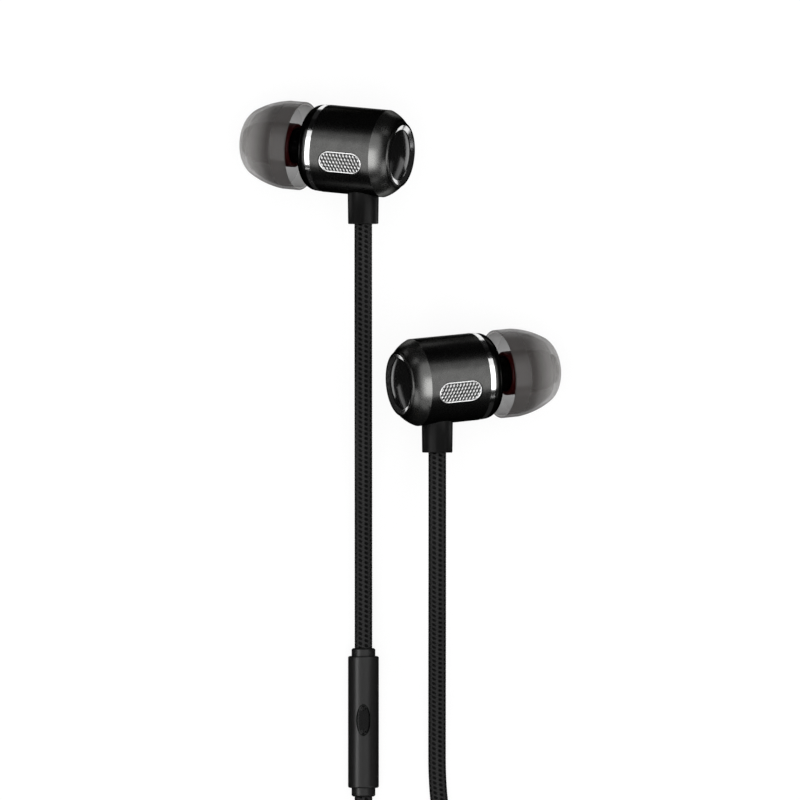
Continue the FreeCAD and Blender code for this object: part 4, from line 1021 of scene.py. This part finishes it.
def add_world():
    world = bpy.data.worlds.new("world")
    world.use_nodes = True
    bpy.context.scene.world = world
    nodes = world.node_tree.nodes
    dim = nodes["Background"]
    dim.inputs["Color"].default_value = (*grey(WORLD_GREY), 1)
    dim.inputs["Strength"].default_value = 1
    white_where_seen(nodes, world.node_tree.links, dim, nodes["World Output"], 1)


add_floor()
add_world()


# Softboxes

LIGHT_TARGET = (0, -0.01, 0.01)
LIGHT_DISTANCE = 1.0
LIGHT_STEP = 0.02  # from a softbox to the core in front of it, or to the fill behind it

# Each softbox has two ends, as seen from the object, a half-width in degrees and a radiance. At each side two
# strips run from the middle, one far and one near, and each has a brighter core
SIDE_HALF_WIDTH = 9
SIDE_MIDDLE = (0.745, 0, 0.667)
SIDE_STRIPS = {"strip_far": (SIDE_MIDDLE, (0.5753, 0.6877, 0.4416), 1.1),
               "strip_near": (SIDE_MIDDLE, (0.6252, -0.7457, 0.2312), 1.1),
               "core_far": (SIDE_MIDDLE, (0.672, 0.431, 0.601), 1.3),
               "core_near": (SIDE_MIDDLE, (0.639, -0.62, 0.36), 1.3)}

# Overhead are a softbox, its brighter core, and a fill that reflections don't see
OVERHEAD_ENDS = ((0, 0.7, 0.7), (0, -0.7, 0.7))
OVERHEAD_HALF_WIDTH = 35
OVERHEAD_RADIANCE = 0.6
OVERHEAD_CORE_ENDS = ((0, 0.1, 0.995), (0, -0.62, 0.785))
OVERHEAD_CORE_HALF_WIDTH = 20
OVERHEAD_CORE_RADIANCE = 1.9
FILL_RADIANCE = 1.1


def add_light(name, place, long_way, size, radiance):
    """A rectangular softbox that faces the object, with its longer side along long_way."""
    light = bpy.data.lights.new(name, "AREA")
    light.shape = "RECTANGLE"
    light.size, light.size_y = size
    light.energy = radiance * math.pi * size[0] * size[1]
    holder = add_object(name, light)
    back = (Vector(place) - Vector(LIGHT_TARGET)).normalized()
    across = Vector(long_way).cross(back).normalized()
    turn = Matrix((across, back.cross(across), back)).transposed()
    holder.matrix_world = Matrix.Translation(place) @ turn.to_4x4()
    holder.visible_camera = False
    return holder


def softbox(name, side, ends, half_width, radiance, distance):
    first, last = [np.array((side * end[0], end[1], end[2])) / np.linalg.norm(end) for end in ends]
    middle = (first + last) / np.linalg.norm(first + last)
    reach = math.acos(first.dot(middle))
    size = (2 * distance * math.tan(math.radians(half_width)), 2 * distance * math.tan(reach))
    return add_light(name, middle * distance + LIGHT_TARGET, first - last, size, radiance)


def side_softboxes(side_name, side):
    for strip, (start, end, radiance) in SIDE_STRIPS.items():
        nearer = LIGHT_STEP if strip.startswith("core") else 0
        softbox(f"{side_name}_{strip}", side, (start, end), SIDE_HALF_WIDTH, radiance,
                LIGHT_DISTANCE - nearer)


side_softboxes("left", -1)
side_softboxes("right", 1)
softbox("overhead_softbox", 1, OVERHEAD_ENDS, OVERHEAD_HALF_WIDTH, OVERHEAD_RADIANCE, LIGHT_DISTANCE)
softbox("overhead_core", 1, OVERHEAD_CORE_ENDS, OVERHEAD_CORE_HALF_WIDTH, OVERHEAD_CORE_RADIANCE,
        LIGHT_DISTANCE - LIGHT_STEP)
fill = softbox("fill_softbox", 1, OVERHEAD_ENDS, OVERHEAD_HALF_WIDTH, FILL_RADIANCE,
               LIGHT_DISTANCE + LIGHT_STEP)
fill.visible_glossy = False


# Black tent and cards, seen by reflections only

TENT_HALF_WIDTH = 1.8
TENT_HEIGHT = 1.6
TENT_FLOOR = -0.00005

# The tent has windows to the pale floor, and cards hang over it, as the metal in the photograph mirrors them:
# left, right, near and far edges in millimetres, given for the left ear piece and mirrored for the right
WINDOWS = {"barrel_edge": (-20, 8, 26, 38), "cap": (4, 12, 13, 24), "cap_ring": (13, 25, 4, 14),
           "tip_nose": (-110, -23, 8, 27)}
SHOULDER_CARD = (2, 70, 12, 29)
SHOULDER_CARD_HEIGHT = 24 * MM
RELIEF_CARD = (-14, -3.5, 4, 11.6)
RELIEF_CARD_HEIGHT = 18 * MM
REMOTE_GREY_CARD = (-25, 29, -100, -45)
REMOTE_BLACK_CARD = (29, 90, -100, -45)
REMOTE_CARD_HEIGHT = 40 * MM
REMOTE_GREY_CARD_BRIGHTNESS = 0.4


def both_sides(edges):
    """A rectangle for the left ear piece, and its mirror image for the right one, in metres."""
    left, right, near, far = [edge * MM for edge in edges]
    return [(left, right, near, far), (-right, -left, near - PAIR_STEP, far - PAIR_STEP)]


def reflected_only(name, verts, faces, material):
    """A mesh that only reflections see."""
    piece = staged(name, verts, faces, material)
    piece.visible_camera = piece.visible_diffuse = piece.visible_transmission = False
    piece.visible_volume_scatter = piece.visible_shadow = False


def flat_cards(name, rectangles, height, material):
    """Level rectangles, as one mesh."""
    verts = []
    faces = []
    for left, right, near, far in rectangles:
        faces.append(list(range(len(verts), len(verts) + 4)))
        verts += [(left, near, height), (right, near, height), (right, far, height), (left, far, height)]
    reflected_only(name, verts, faces, material)


def cloth_round(windows):
    """Rectangles that cover the tent's floor apart from the windows."""
    half = TENT_HALF_WIDTH
    columns = sorted({-half, half, *[x for window in windows for x in window[:2]]})
    rows = sorted({-half, half, *[y for window in windows for y in window[2:]]})
    cells = []
    for left, right in zip(columns, columns[1:]):
        for near, far in zip(rows, rows[1:]):
            x = (left + right) / 2
            y = (near + far) / 2
            if not any(w[0] < x < w[1] and w[2] < y < w[3] for w in windows):
                cells.append((left, right, near, far))
    return cells


def grey_card_material(brightness):
    material, _, _, shader = new_material("grey_card")
    shader.inputs["Base Color"].default_value = (0, 0, 0, 1)
    shader.inputs["Emission Color"].default_value = (1, 1, 1, 1)
    shader.inputs["Emission Strength"].default_value = brightness
    return material


CLOTH = surface("tent_cloth", grey(0.012), 0.9, 1 * MM, 0.01 * MM, Specular_IOR_Level=0.0)


def black_tent():
    half = TENT_HALF_WIDTH
    corners = [(-half, -half), (half, -half), (half, half), (-half, half)]
    verts = [(x, y, z) for z in (TENT_FLOOR, TENT_HEIGHT) for x, y in corners]
    walls = [[step, (step + 1) % 4, (step + 1) % 4 + 4, step + 4] for step in range(4)]
    reflected_only("black_tent", verts, [[4, 5, 6, 7]] + walls, CLOTH)
    windows = [window for edges in WINDOWS.values() for window in both_sides(edges)]
    flat_cards("tent_floor", cloth_round(windows), TENT_FLOOR, CLOTH)


def hanging_cards():
    flat_cards("shoulder_cards", both_sides(SHOULDER_CARD), SHOULDER_CARD_HEIGHT, CLOTH)
    flat_cards("relief_cards", both_sides(RELIEF_CARD), RELIEF_CARD_HEIGHT, CLOTH)
    flat_cards("remote_black_card", [[edge * MM for edge in REMOTE_BLACK_CARD]], REMOTE_CARD_HEIGHT, CLOTH)
    flat_cards("remote_grey_card", [[edge * MM for edge in REMOTE_GREY_CARD]], REMOTE_CARD_HEIGHT,
               grey_card_material(REMOTE_GREY_CARD_BRIGHTNESS))


black_tent()
hanging_cards()

bpy.context.scene.view_settings.view_transform = "Standard"
